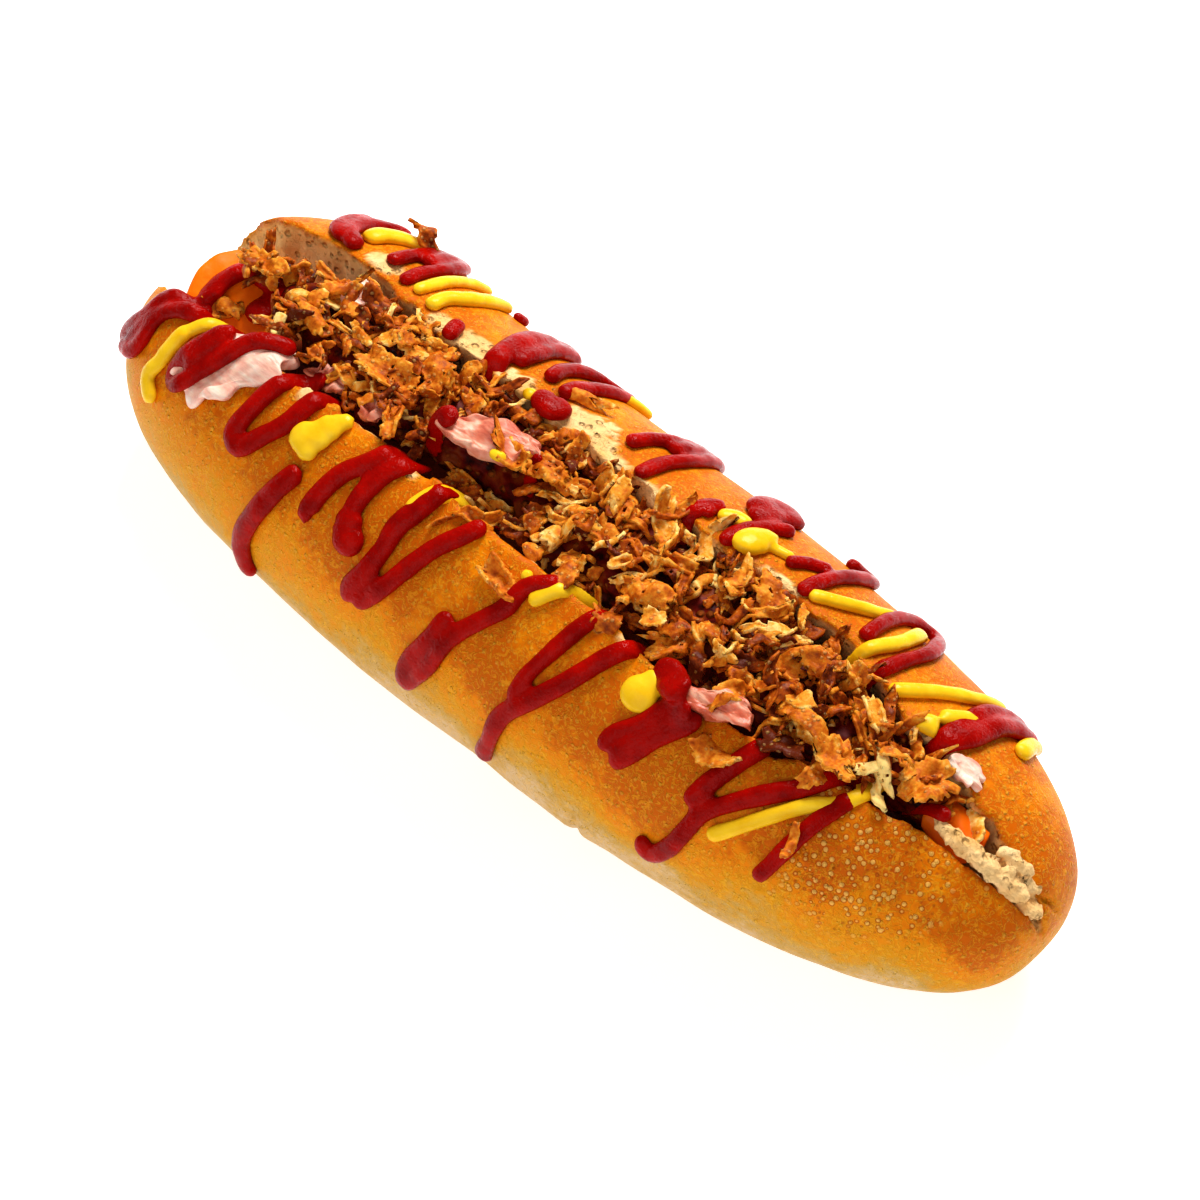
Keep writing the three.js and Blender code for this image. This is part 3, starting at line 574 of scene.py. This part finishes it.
# Each strand: its width as a share of the usual one, then places of x and girth along it.
KETCHUP_STRANDS = [
    (1.2, [(-105.5, -14), (-107.4, -12), (-107.4, -4), (-106.4, 1), (-104.4, 6), (-99.9, 6), (-95.6, 7),
           (-92.5, 7)]),
    (1.5, [(-96.2, -9), (-95.9, -1), (-94.6, 5), (-93.2, 10), (-92.6, 13)]),
    (0.9, [(-91.8, 22), (-91.5, 18), (-89.2, 12), (-84.2, 6)]),
    (0.95, [(-104, -17), (-108.6, -20), (-113, -24), (-115.1, -36), (-119.4, -56), (-120, -66),
            (-119.4, -72)]),
    (0.95, [(-99.8, -20), (-103.1, -22), (-107.5, -25), (-110.9, -31), (-112.1, -40), (-112, -48),
            (-113.5, -58), (-117, -64), (-119, -68)]),
    (0.9, [(-110, -27), (-113, -36), (-115, -48), (-117, -60)]),
    (0.95, [(-82.4, -7), (-85, -10), (-89.1, -15), (-91.2, -21), (-93.8, -30), (-96.8, -40), (-97.8, -46),
            (-96, -49), (-93, -46), (-90.1, -36), (-86.9, -27), (-84, -19), (-79.2, -14), (-75.8, -12)]),
    (0.95, [(-90, -18), (-92, -29), (-94.5, -40)]),
    (1.05, [(-59.2, -8), (-59.8, -11), (-62.4, -17), (-64.4, -23), (-65.8, -33), (-69, -42), (-72.2, -50),
            (-74.1, -50), (-75.9, -47), (-75.1, -38), (-74.1, -28), (-72.5, -20), (-70.1, -15),
            (-67.5, -12)]),
    (1.15, [(-56, -42), (-58, -48), (-61, -62), (-64, -79), (-64, -90), (-62, -100)]),
    (1.05, [(-42, -14), (-42, -18), (-44, -26), (-48, -36), (-50, -52), (-48, -53)]),
    (1.05, [(-38, -14), (-37, -18), (-40, -28), (-41, -40), (-39.5, -52), (-38.5, -56)]),
    (1.8, [(-38, -51)]),
    (1.5, [(-40, -46)]),
    (1.5, [(-39, -54), (-40, -45)]),
    (1.1, [(-26, -15), (-28, -28), (-30, -37), (-30, -46), (-31, -56), (-33, -66), (-31, -70)]),
    (1, [(-31, -70), (-26, -58), (-23, -47), (-20, -36), (-16, -26), (-14, -20)]),
    (0.8, [(-17, -21), (-16, -14), (-15, -6), (-16, 1), (-16, 4)]),
    (0.95, [(-9, -49), (-10, -59), (-14, -76), (-14, -86), (-9, -72), (-6, -56), (-2, -45), (1, -37),
            (2, -28), (7, -21), (9, -13), (9, -4), (15, 4)]),
    (1.3, [(-13.5, -80), (-14, -86)]),
    (0.9, [(19, -14), (19, -19), (17, -28), (15, -40), (13, -52), (13, -62)]),
    (1, [(29, -13), (30, -20), (26, -30), (22, -43), (17, -56), (12, -68), (10, -83), (8, -94)]),
    (0.95, [(46, -27), (42, -34), (40, -41), (36, -50), (36, -57)]),
    (0.95, [(50, -28), (48, -34), (44, -43), (41, -53), (38, -59)]),
    (1.1, [(48, -28), (44, -36), (41, -46), (38, -57)]),
    (1.6, [(35, -26), (38, -24), (42, -26), (46, -27)]),
    (1.3, [(38, -25), (44, -27)]),
    (1, [(64, -22), (62, -30), (60, -39), (58, -48), (57, -56)]),
    (0.95, [(84.8, -14), (81.1, -13), (78.6, -18), (74.8, -28), (69.2, -38), (63.8, -48), (60.6, -55),
            (59.1, -64), (57.2, -74), (53.6, -83), (51.1, -82), (51.2, -77)]),
    (0.9, [(84, -20), (82.2, -29), (80.5, -39), (79.1, -49), (77.5, -60), (75.9, -67)]),
    (1.1, [(-89, 30), (-93, 33), (-96, 39), (-97, 48), (-96, 56), (-94, 62), (-90, 66)]),
    (1.1, [(-98, 58), (-99, 44), (-97, 36), (-93, 32)]),
    (1, [(-93, 22), (-90, 17), (-87, 12)]),
    (0.8, [(-81, 30), (-80.5, 36), (-80, 48), (-78, 60), (-76, 68), (-74, 60), (-73, 48), (-74, 36),
           (-74, 26)]),
    (1, [(-77, 42), (-77, 54), (-75, 64)]),
    (0.9, [(-54, 18), (-55, 22), (-56, 28)]),
    (0.7, [(-56, 59), (-54, 68)]),
    (1.35, [(-38, 11), (-41, 17), (-43, 26), (-44, 37), (-44, 50), (-42, 62), (-40, 72)]),
    (1, [(-40, 28), (-40, 40), (-40, 54), (-39, 68)]),
    (0.9, [(-32, 31), (-33, 42), (-31, 56), (-27, 64), (-23, 66), (-23, 56), (-26, 40), (-27, 28)]),
    (1.5, [(-28, 26), (-27, 21), (-24, 20), (-23, 26)]),
    (0.85, [(-8, 28), (-6, 38), (-3, 50), (-1, 64), (1, 73), (3, 62), (3, 44), (1, 30), (0, 19)]),
    (0.9, [(-2, 40), (0, 54), (1.5, 66)]),
    (0.9, [(17, 14), (15, 20), (16, 27), (19, 31)]),
    (0.85, [(26, 17), (25, 22), (26, 30), (28, 37), (31, 46)]),
    (1.55, [(23, 38), (22, 50), (27, 62)]),
    (1.3, [(24, 34), (25, 48), (28, 60)]),
    (1.2, [(-38, -11), (-38, -5), (-35, -1)]),
    (0.75, [(37, 27), (40, 35), (44, 41)]),
    (0.85, [(45, 20), (45, 28), (46, 40), (47, 54), (47, 66), (44, 68), (41, 60)]),
    (0.85, [(61, 23), (60.5, 32), (60, 46), (61, 60), (64, 68), (67, 64), (70, 50), (71, 40), (70, 28),
            (69, 20), (67, 12)]),
    (1.2, [(88, 6), (89, 15), (91, 26), (92, 42), (94, 60), (96, 70)]),
    (0.9, [(88, 13), (88, 24), (88, 40), (90, 58), (92, 70), (96, 71)]),
    (1, [(90, -10), (88, -2), (88, 8)]),
    (1, [(16, 24), (19, 26)]),
    (0.8, [(91, -6), (96, -5), (101, -4)]),
]


def ground_of(pieces):
    """All the pieces' triangles in millimetres, for rays to fall on."""
    faces, points = [], []
    for piece in pieces:
        piece.data.calc_loop_triangles()
        start = len(points)
        points += [vert.co / MM for vert in piece.data.vertices]
        faces += [[start + corner for corner in face.vertices] for face in piece.data.loop_triangles]
    return BVHTree.FromPolygons(points, faces)


bpy.context.view_layer.update()
stand = [
    piece for piece in scene.collection.all_objects
    if piece.type == "MESH" and not piece.hide_render and piece.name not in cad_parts
]
below_sauce = ground_of(stand)


def route_of(places, step=1.0):
    """Places close together along a smooth curve through the given ones, and how far along each lies."""
    knots = np.array([places[0], *places, places[-1]], float)
    dense = []
    for before, start, end, after in zip(knots, knots[1:], knots[2:], knots[3:]):
        for t in np.linspace(0, 1, 16, endpoint=False):
            square, cube = 2 * before - 5 * start + 4 * end - after, 3 * start - before - 3 * end + after
            dense.append(0.5 * (2 * start + (end - before) * t + square * t**2 + cube * t**3))
    dense = np.array([*dense, knots[-1]])
    spots = crust_points(dense[:, 0], dense[:, 1])
    walked = np.concatenate([[0], np.cumsum(np.linalg.norm(np.diff(spots, axis=0), axis=1))])
    marks = np.linspace(0, walked[-1], max(4, int(walked[-1] / step)))
    route = [np.interp(marks, walked, dense[:, 0]), np.interp(marks, walked, dense[:, 1])]
    return np.stack(route, axis=1), marks


def lying_on(route, surface, deepest):
    """How high above the crust's line a strand lies: it bridges small gaps and sags over large ones."""
    spots, out = crust_points(route[:, 0], route[:, 1]), crust_normals(route[:, 0], route[:, 1])
    heights = []
    for spot, direction in zip(spots, out):
        hit = surface.ray_cast(Vector(spot + direction * 20), Vector(-direction), 60)
        heights.append(max(deepest, 20 - hit[3]) if hit[0] else deepest)
    heights = np.array(heights)
    bridged = np.array([heights[max(0, i - 2):i + 3].max() for i in range(len(heights))])
    padded = np.pad(bridged, 4, mode="edge")
    return spots, out, np.convolve(padded, np.hanning(11)[1:-1] / np.hanning(11).sum(), mode="valid")


MM_PER_DEGREE = 0.65  # around the crust, near its top


def pipe_sauce(name, strands, width, flatness, surface, deepest=-12.0, sink=0.2):
    """One skin of sauce over all the strands: settled beads, and drops where only one place is given."""
    shape = bmesh.new()
    for number, (share, places) in enumerate(strands):
        if len(places) == 1:
            across = share * width / 2 / MM_PER_DEGREE
            places = [(places[0][0], places[0][1] - across), (places[0][0], places[0][1] + across)]
        route, marks = route_of(places)
        spots, out, heights = lying_on(route, surface, deepest)
        ahead = np.gradient(spots, axis=0)
        side = np.cross(out, ahead / np.linalg.norm(ahead, axis=1, keepdims=True))
        beside = [(mark / 9, number * 3, 0) for mark in marks]
        pulse = [(mark / 2.6, number * 5, 4) for mark in marks]
        half = share * width / 2 * (1 + 0.16 * rough(beside, 1.0) + 0.06 * rough(pulse, 1.0))
        tall = share**0.5 * width / 2 * flatness
        tall = tall * (1 + 0.1 * rough(beside, 1.0, 9) + 0.12 * rough(pulse, 1.0, 5))
        end = np.minimum(marks, marks[-1] - marks) / (0.5 * width * share)
        end = np.sqrt(np.clip(1 - (1 - np.clip(end, 0, 1)) ** 2, 0, 1))
        spots = spots + out * (heights + tall * (1 - 2 * sink))[:, None]
        rings = np.arange(len(marks))
        bead = bmesh.ops.create_uvsphere(shape, u_segments=14, v_segments=len(marks) - 1, radius=1)["verts"]
        for vert in bead:
            at = math.acos(min(1, max(-1, vert.co.z))) / math.pi * rings[-1]
            middle, across, upward = ([np.interp(at, rings, table[:, axis]) for axis in range(3)]
                                      for table in (spots, side, out))
            turn = math.atan2(vert.co.y, vert.co.x)
            wide = math.cos(turn) * np.interp(at, rings, half * end)
            high = math.sin(turn) * np.interp(at, rings, tall * end)
            vert.co = (Vector(middle) + Vector(across) * wide + Vector(upward) * high) * MM
    piece = piece_from(name, shape)
    remesh(piece, 0.54)
    skin = bmesh.new()
    skin.from_mesh(piece.data)
    for _ in range(3):
        bmesh.ops.smooth_vert(skin, verts=skin.verts, factor=0.5, use_axis_x=True, use_axis_y=True,
                              use_axis_z=True)
    skin.to_mesh(piece.data)
    skin.free()
    piece.data.shade_smooth()
    return piece


ketchup = pipe_sauce("ketchup", KETCHUP_STRANDS, KETCHUP_WIDTH, 0.68, below_sauce)
ketchup_finish, surface, place = new_finish("Ketchup")
streaks = grain(place, 0.8, 3, 0.8)
ketchup_colour = tint(grain(place, 5, 3), [(0.3, 0.24, 0.001, 0.0), (0.7, 0.42, 0.003, 0.0)])
feed(surface, Base_Color=ketchup_colour, Roughness=spread(streaks, 0.3, 0.7, 0.08, 0.22),
     Normal=bump(streaks, 0.24), Specular_IOR_Level=0.09)
ketchup.data.materials.append(ketchup_finish)
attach(ketchup, "root")
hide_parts("roll", "ham_left")

# The mustard was piped after the ketchup in thinner zigzags, and dripped: a smooth yellow table mustard
# that holds a soft round edge and settles a little flatter than the ketchup. Its strands are given as
# ketchup's.
MUSTARD_WIDTH = 4.3
MUSTARD_STRANDS = [
    (0.85, [(-82, -8), (-90.4, -12), (-94.1, -16), (-98, -21), (-101, -28), (-102.2, -33)]),
    (1, [(-101, -28), (-102.2, -33), (-103, -41), (-103.6, -49), (-104.9, -57), (-103.1, -62),
         (-100.1, -66)]),
    (1.9, [(-60, -33)]),
    (1.75, [(-58, -30)]),
    (1.5, [(-57, -26)]),
    (1.15, [(-56, -23)]),
    (0.9, [(-56, -24), (-54, -18)]),
    (1.3, [(-58, -36)]),
    (1.1, [(-22, -11), (-25, -18), (-28, -24), (-30, -33)]),
    (0.65, [(-25, -4), (-20, -3)]),
    (0.9, [(16, -19), (13, -18), (10, -20), (7, -25), (5, -30), (4, -32)]),
    (0.75, [(1, -23), (0, -28)]),
    (0.7, [(-11, -13), (-10, -8), (-10, -4)]),
    (2, [(36, -34)]),
    (1.5, [(37, -29)]),
    (1.1, [(34, -23), (37, -18)]),
    (0.85, [(85, -4), (85.1, -14), (84, -21), (82.1, -26), (77.9, -32), (73.1, -42), (67.5, -54),
            (63.4, -62)]),
    (1.3, [(85, -13), (84, -19)]),
    (1.2, [(-91, 36), (-90, 44), (-86, 52), (-81, 56)]),
    (0.8, [(-70, 26), (-69, 37), (-68, 50), (-66, 66)]),
    (0.95, [(-64, 24), (-64, 32), (-61, 42), (-58, 62)]),
    (0.9, [(-37, 8), (-34, 11), (-31, 14)]),
    (0.9, [(-32, 24), (-30, 18)]),
    (0.9, [(-25, 56), (-21, 63), (-18, 72)]),
    (1, [(19, 25), (22, 30), (26, 31)]),
    (1.7, [(29, 18), (29, 24), (31, 30), (33, 30)]),
    (0.6, [(31, 28), (34, 30), (38, 32)]),
    (0.8, [(46, 22), (52, 30), (57, 40), (60, 48)]),
    (0.9, [(62, 13), (64, 23), (66, 34), (66, 46), (65, 54)]),
    (0.85, [(73, 14), (78, 25), (84, 42), (88, 62)]),
    (1.8, [(82.5, 19), (84.5, 15), (86, 18)]),
    (1, [(84, 20), (87, 28), (90, 38), (91, 46)]),
    (1, [(99, 42), (97, 62), (96, 76)]),
]
mustard = pipe_sauce("mustard", MUSTARD_STRANDS, MUSTARD_WIDTH, 0.68, below_sauce, sink=0.22)
mustard_finish, surface, place = new_finish("Mustard")
mustard_colour = tint(grain(place, 6, 3), [(0.3, 0.86, 0.48, 0.006), (0.7, 0.95, 0.62, 0.024)])
feed(surface, Base_Color=mustard_colour,
     Roughness=spread(grain(place, 2), 0.3, 0.7, 0.2, 0.36),
     Normal=bump(grain(place, 1.6), 0.12), Specular_IOR_Level=0.16)
mustard.data.materials.append(mustard_finish)
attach(mustard, "root")
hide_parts("roll")

# The heap is crisp fried onion: shreds of onion dipped in flour and fried until they are brown, crinkled
# and brittle. Its core is a mass of small crumbs wet with sauce, coloured near black as painted shade
# deep in the heap, and the loose flakes lie on it.
HEAP_START, HEAP_END = -94.0, 106.0


def heap_at(x):
    near, far = cut_at(x)[:2]
    bare = 5 * math.exp(-(((x + 25) / 15) ** 2))
    half = min(12.5, max(2.5, (far - near) / 2 - 2)) - bare / 2
    return (near + far) / 2 + 1.5 + bare / 2, half, max(0, x - 78) * 0.3


crumbs = bmesh.new()
bmesh.ops.create_uvsphere(crumbs, u_segments=64, v_segments=220, radius=1)


def core_place(a, b, c):
    x = HEAP_START + (HEAP_END - HEAP_START) * (1 - c) / 2
    middle, half, drop = heap_at(x)
    around = math.hypot(a, b)
    fill = min(1, around * 1.5) / max(around, 1e-6)
    lump = 0.86 + 0.16 * lumpy(x / 8, a * 1.4, b * 1.4)
    lump += 0.14 * lumpy(x / 3, a * 4, b * 4)
    lump += 0.08 * lumpy(x / 1.4, a * 9, b * 9)
    return x, middle + half * fill * lump * a, 46.5 - drop + 5.5 * fill * lump * b


bend_to(crumbs, core_place)
onion_core = piece_from("onion_core", crumbs)
core_finish, surface, place = new_finish("Soaked onion crumbs in painted shade")
lumps, _, lump_height = bubbled(place, 2.4, 0.9)
# Painted shade: the core's colour runs down to near black, for the shade deep among the flakes.
sauce_and_shade = tint(grain(place, 4, 4), [
    (0.35, 0.02, 0.002, 0.001), (0.5, 0.14, 0.005, 0.001), (0.64, 0.22, 0.04, 0.004),
])
sauce_and_shade = mixed(times(lumps, 0.5), sauce_and_shade, (0.42, 0.13, 0.018, 1))
feed(surface, Base_Color=sauce_and_shade,
     Roughness=spread(lump_height, 0, 1, 0.4, 0.8), Normal=bump(lump_height, 1.0),
     Specular_IOR_Level=0.08)
onion_core.data.materials.append(core_finish)
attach(onion_core, "root")
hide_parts("onion_heap")

onion_finish, surface, place = new_finish("Fried onion")
blisters, _, blister_height = bubbled(place, 1.2, 0.75)
tone = sums("ADD", times(grain(place, 1.3, 3), 0.55),
            times(grain(place, 4.5, 3), 0.6))
tone = sums("ADD", tone, mark(surface, "tone"))
# Painted highlight: each flake is paler towards its edges, as if they caught the light.
tone = sums("ADD", tone, times(mark(surface, "rim"), 0.09))
onion_colour = tint(tone, [
    (0.30, 0.13, 0.017, 0.001), (0.44, 0.36, 0.068, 0.003), (0.58, 0.60, 0.155, 0.006),
    (0.72, 0.81, 0.33, 0.03), (0.90, 0.98, 0.68, 0.24),
])
onion_colour = mixed(times(blisters, 0.3), onion_colour, (0.90, 0.58, 0.20, 1))
crisp = bump(blister_height, 0.3)
feed(surface, Base_Color=onion_colour, Roughness=spread(tone, 0.3, 0.8, 0.42, 0.65),
     Normal=bump(grain(place, 0.7, 2), 0.2, crisp), Subsurface_Weight=0.12,
     Subsurface_Scale=0.0015, Specular_IOR_Level=0.15)

FIELD_X, FIELD_Y = np.arange(-125, 126), np.arange(-45, 51)
below_flakes = ground_of([*stand, ketchup, mustard, onion_core])
down = Vector((0, 0, -1))
above = [[below_flakes.ray_cast(Vector((x, y, 90)), down)[0] for y in FIELD_Y] for x in FIELD_X]
field = np.array([[(hit or Vector()).z for hit in row] for row in above])


def cells_of(points):
    column = np.clip(np.round(points[:, 0] - FIELD_X[0]).astype(int), 0, len(FIELD_X) - 1)
    row = np.clip(np.round(points[:, 1] - FIELD_Y[0]).astype(int), 0, len(FIELD_Y) - 1)
    return column, row


class FlakeBatch:
    """Flakes that become one piece."""

    def __init__(self, name):
        self.name, self.shape = name, bmesh.new()
        self.rim = self.shape.verts.layers.float.new("rim")
        self.tone = self.shape.verts.layers.float.new("tone")

    def finish(self):
        piece = piece_from(self.name, self.shape)
        piece.data.materials.append(onion_finish)
        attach(piece, "root")
        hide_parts("onion_heap")
        return piece


# How far x and y go for each millimetre up the photo's line of sight.
UP_SIGHT_X, UP_SIGHT_Y = 0.4725, -0.517


def fry_flake(batch, dice, x, y, length, width, heading, tone=None, tilt=None, held_z=None, ceiling=99.0):
    """One flake: a torn, crumpled shred, curled across and bent along, which is dropped on what lies there.

    With held_z, it lies where x, y and held_z show in the photo's view.
    """
    sheet = bmesh.new()
    rim = sheet.verts.layers.float.new("rim")
    shade_of = sheet.verts.layers.float.new("tone")
    cells_long, cells_wide = max(6, round(length * 1.35)), max(5, round(width * 1.5))
    bmesh.ops.create_grid(sheet, x_segments=cells_long, y_segments=cells_wide, size=1)
    seed = dice.uniform(0, 500)
    curl, crumple = dice.uniform(-1.6, 1.6), dice.uniform(0.45, 1.15)
    slim = smooth_share(0.6, 0.3, width / length)
    bend, twist = (1 + slim) * dice.uniform(-1.1, 1.1), (0.6 + slim) * dice.uniform(-0.9, 0.9)
    tone = dice.gauss(-0.06, 0.14) if tone is None else tone
    for vert in sheet.verts:
        a, b = vert.co.x, vert.co.y
        # How near the edge each vertex is: it keeps holes off the edges, and the finish paints the edges
        # paler as a highlight.
        vert[rim] = max(abs(a), abs(b)) ** 4
        vert[shade_of] = tone
        p, q = a * math.sqrt(1 - b * b / 2.6), b * math.sqrt(1 - a * a / 2.6)
        angle = math.atan2(q, p)
        torn = 1 + 0.32 * lumpy(2 * math.cos(angle), 2 * math.sin(angle), seed)
        torn += 0.3 * lumpy(4.5 * math.cos(angle), 4.5 * math.sin(angle), seed + 50)
        torn += 0.18 * lumpy(11 * math.cos(angle), 11 * math.sin(angle), seed + 90)
        u, v = p * torn * length / 2, q * torn * width / 2
        ripple = crumple * (2.1 * lumpy(u / 3.2, v / 3.2, seed)
                            + 0.6 * lumpy(u / 1.5, v / 1.5, seed + 9))
        turn = curl * v / width * 2
        w = 0
        if abs(curl) > 0.1:
            v, w = math.sin(turn) * width / 2 / curl, (1 - math.cos(turn)) * width / 2 / curl
        turn = bend * u / length * 2
        u += ripple * math.sin(turn) * 0.6
        w += ripple + (1 - math.cos(turn)) * length / 2 / bend if abs(bend) > 0.1 else ripple
        along, up = math.cos(twist * p), math.sin(twist * p)
        vert.co = Vector((u, v * along - w * up, v * up + w * along))
    if length > 7 and dice.random() < 0.5:
        sheet.faces.ensure_lookup_table()
        middle = [face for face in sheet.faces if all(vert[rim] < 0.6 for vert in face.verts)]
        holes = dice.sample(middle, min(len(middle), dice.randint(1, 4)))
        bmesh.ops.delete(sheet, geom=holes, context="FACES")
    bmesh.ops.recalc_face_normals(sheet, faces=sheet.faces)
    thickness = dice.uniform(0.5, 0.9)
    raised = bmesh.ops.extrude_face_region(sheet, geom=sheet.faces[:])["geom"]
    raised = [vert for vert in raised if isinstance(vert, bmesh.types.BMVert)]
    sheet.normal_update()
    for vert, out in [(vert, vert.normal.copy()) for vert in raised]:
        vert.co += out * thickness
    tilt = dice.uniform(0, 0.75) if tilt is None else tilt
    lean = Matrix.Rotation(tilt, 3, Vector((math.cos(seed), math.sin(seed), 0)))
    turn = Matrix.Rotation(math.radians(heading), 3, "Z") @ lean
    bmesh.ops.rotate(sheet, verts=sheet.verts, cent=(0, 0, 0), matrix=turn)
    spots = np.array([vert.co for vert in sheet.verts])
    for _ in range(2):
        column, row = cells_of(spots + (x, y, 0))
        drop = float(np.percentile(field[column, row] - spots[:, 2], 66))
        if held_z is not None:
            x, y, held_z = x + UP_SIGHT_X * (drop - held_z), y + UP_SIGHT_Y * (drop - held_z), drop
    spots += (x, y, drop)
    if np.percentile(spots[:, 2], 80) > ceiling:
        sheet.free()
        return False
    column, row = cells_of(spots)
    np.maximum.at(field, (column, row), spots[:, 2])
    for vert, spot in zip(sheet.verts, spots):
        vert.co = Vector(spot) * MM
    scrap = bpy.data.meshes.new("scrap")
    sheet.to_mesh(scrap)
    sheet.free()
    batch.shape.from_mesh(scrap)
    bpy.data.meshes.remove(scrap)
    return True


# The flakes that fill the heap, by stretches of the roll: from x, to x, near y, far y, how many, and how
# high the heap may grow there.
HEAP_STRETCHES = [
    (-102, -92, 3, 10, 20, 57), (-88, -36, -8, 14, 145, 56), (-38, -12, 3, 13, 36, 56),
    (-13, 28, -12, 13, 105, 59), (26, 68, -12, 13, 118, 59), (66, 93, -9, 7, 46, 56),
    (-46, -26, -9, 1, 22, 48), (-30, -10, -11, 1, 26, 49), (95, 106, -3, 4, 3, 47),
]
dice = random.Random(5)
shreds, chips, bits = FlakeBatch("onion_shreds"), FlakeBatch("onion_chips"), FlakeBatch("onion_bits")
fillers = [(x0, x1, y0, y1, high) for x0, x1, y0, y1, count, high in HEAP_STRETCHES for _ in range(count)]
dice.shuffle(fillers)
for x0, x1, y0, y1, high in fillers:
    for _ in range(6):
        kind, heading = dice.random(), dice.uniform(0, 360)
        coarse = 1.0 + 0.15 * (x0 > -20)
        if kind < 0.22:
            batch, length = chips, coarse * dice.uniform(4.5, 8)
            width = length * dice.uniform(0.45, 0.75)
        elif kind < 0.74:
            batch, length = shreds, coarse * dice.uniform(5.5, 10.5)
            width = dice.uniform(1.6, 3.2)
        else:
            batch, length = bits, dice.uniform(2, 4.2)
            width = length * dice.uniform(0.5, 0.9)
        x, y = dice.uniform(x0, x1), dice.uniform(y0, y1)
        if fry_flake(batch, dice, x, y, length, width, heading, ceiling=high):
            break

# The large flakes that stand out on the heap and beside it: x, y, z, length, width, heading and tone.
LARGE_FLAKES = [
    (-100, 5, 50, 13, 6, 5, 0.05), (-98, -11, 52, 9, 4, 39, 0), (-84, 12, 58, 5, 4, -2, 0),
    (-79, 8, 58, 8, 5, 42, 0), (-79, -1, 56, 9, 5, -21, 0.02), (-61, 6, 58, 8, 6, 42, 0.05),
    (-56, -2, 57, 14, 8, 13, 0.03), (-49, 6, 58, 11, 8, -35, -0.02), (-47, -10, 55, 10, 6, -60, 0),
    (-81, 36, 48, 10, 4, -37, -0.12), (-19, -2, 61, 12, 5, 0, 0), (-12, 1, 60, 8, 6, 9, 0),
    (-22, 22, 56, 15, 3, 19, 0.04), (18, 5, 62, 15, 6, -30, 0.14), (27, 7, 62, 13, 5, -60, 0.22),
    (-18, -17, 56, 13, 4, 17, 0), (-1, -26, 57, 11, 6, -22, 0), (-1, -16, 57, 4, 4, 16, 0),
    (8, -16, 58, 7, 5, 99, -0.05), (22, -18, 58, 7, 6, 14, -0.06), (15, -6, 58, 6, 4, 76, 0.12),
    (24, -8, 60, 12, 7, 21, 0.05), (3, 6, 60, 8, 6, 91, 0.14), (-6, -10, 58, 5, 4, 83, 0),
    (44, 8, 60, 12, 6, -21, 0.02), (38, 4, 62, 11, 4, 87, 0.08), (30, -13, 60, 5, 5, 5, 0.16),
    (61, 4, 58, 9, 6, 14, 0), (77, 2, 56, 8, 5, -29, 0.12), (58, -25, 53, 9, 8, -8, 0.06),
    (68, -16, 56, 9, 6, 11, -0.35), (95, -3, 55, 11, 9, 70, 0.06), (82, -29, 50, 8, 3, 110, 0),
    (78, -17, 56, 9, 5, 76, 0), (70, -11, 62, 16, 4, 0, 0.04), (54, -17, 62, 10, 5, 65, 0),
    (85, -3, 56, 12, 3, 16, 0.06), (68, 7, 57, 5, 4, -21, 0), (-97, -9, 52, 6, 4, 12, 0.1),
    (-36, 4, 58, 5, 4, -19, 0), (38, -16, 62, 12, 5, 54, 0), (79, -13, 58, 11, 5, -17, 0.05),
]
for x, y, z, length, width, heading, tone in LARGE_FLAKES:
    tilt = dice.uniform(0, 0.3)
    fry_flake(chips, dice, x, y, length, width, heading, tone=tone - 0.03, tilt=tilt, held_z=z)
for batch in (shreds, chips, bits):
    batch.finish()

# The studio is a white table under a broad soft lamp behind and above the roll, with a weaker one in
# front. The table glows faintly bluish white with its own light, which softens the roll's shadows on it
# and lights the roll's lower sides.
LOOK = Vector((2.6, 1.0, 26.0)) * MM
table = bmesh.new()
bmesh.ops.create_grid(table, x_segments=1, y_segments=1, size=4)
floor = piece_from("floor", table)
floor_finish, surface, place = new_finish("Glowing white table")
clouds = grain(place, 300)
# Painted light: the table glows, which fills the shadows on it and lights the roll from below.
feed(surface, Base_Color=tint(clouds, [(0.3, 0.93, 0.93, 0.93), (0.7, 0.95, 0.95, 0.95)]),
     Emission_Color=tint(clouds, [(0.3, 0.9, 0.93, 0.99), (0.7, 0.91, 0.94, 1)]),
     Roughness=0.8, Emission_Strength=0.47)
floor.data.materials.append(floor_finish)

for name, direction, size, power in (
    ("key", (-0.25, 0.62, 0.75), 0.55, 14.5),
    ("fill", (0.2, -0.8, 0.6), 1.0, 4.2),
):
    lamp = bpy.data.lights.new(name, "AREA")
    lamp.size, lamp.energy = size, power
    light = bpy.data.objects.new(name, lamp)
    light.location = LOOK + Vector(direction).normalized() * 1.1
    light.rotation_euler = Vector(direction).to_track_quat("Z", "Y").to_euler()
    scene.collection.objects.link(light)

world = bpy.data.worlds.new("Studio")
world.use_nodes = True
world.node_tree.nodes["Background"].inputs["Color"].default_value = (1, 1, 1, 1)
world.node_tree.nodes["Background"].inputs["Strength"].default_value = 0.25
scene.world = world
scene.view_settings.view_transform = "Standard"
scene.view_settings.look = "Medium High Contrast"

AZIMUTH, ELEVATION, DISTANCE = math.radians(42.4), math.radians(55), 1.0
level = math.cos(ELEVATION)
back = Vector((math.sin(AZIMUTH) * level, -math.cos(AZIMUTH) * level, math.sin(ELEVATION)))
lens = bpy.data.cameras.new("camera")
lens.lens, lens.sensor_width = 141, 36
camera = bpy.data.objects.new("camera", lens)
camera.location = LOOK + back * DISTANCE
camera.rotation_euler = back.to_track_quat("Z", "Y").to_euler()
scene.collection.objects.link(camera)
scene.camera = camera
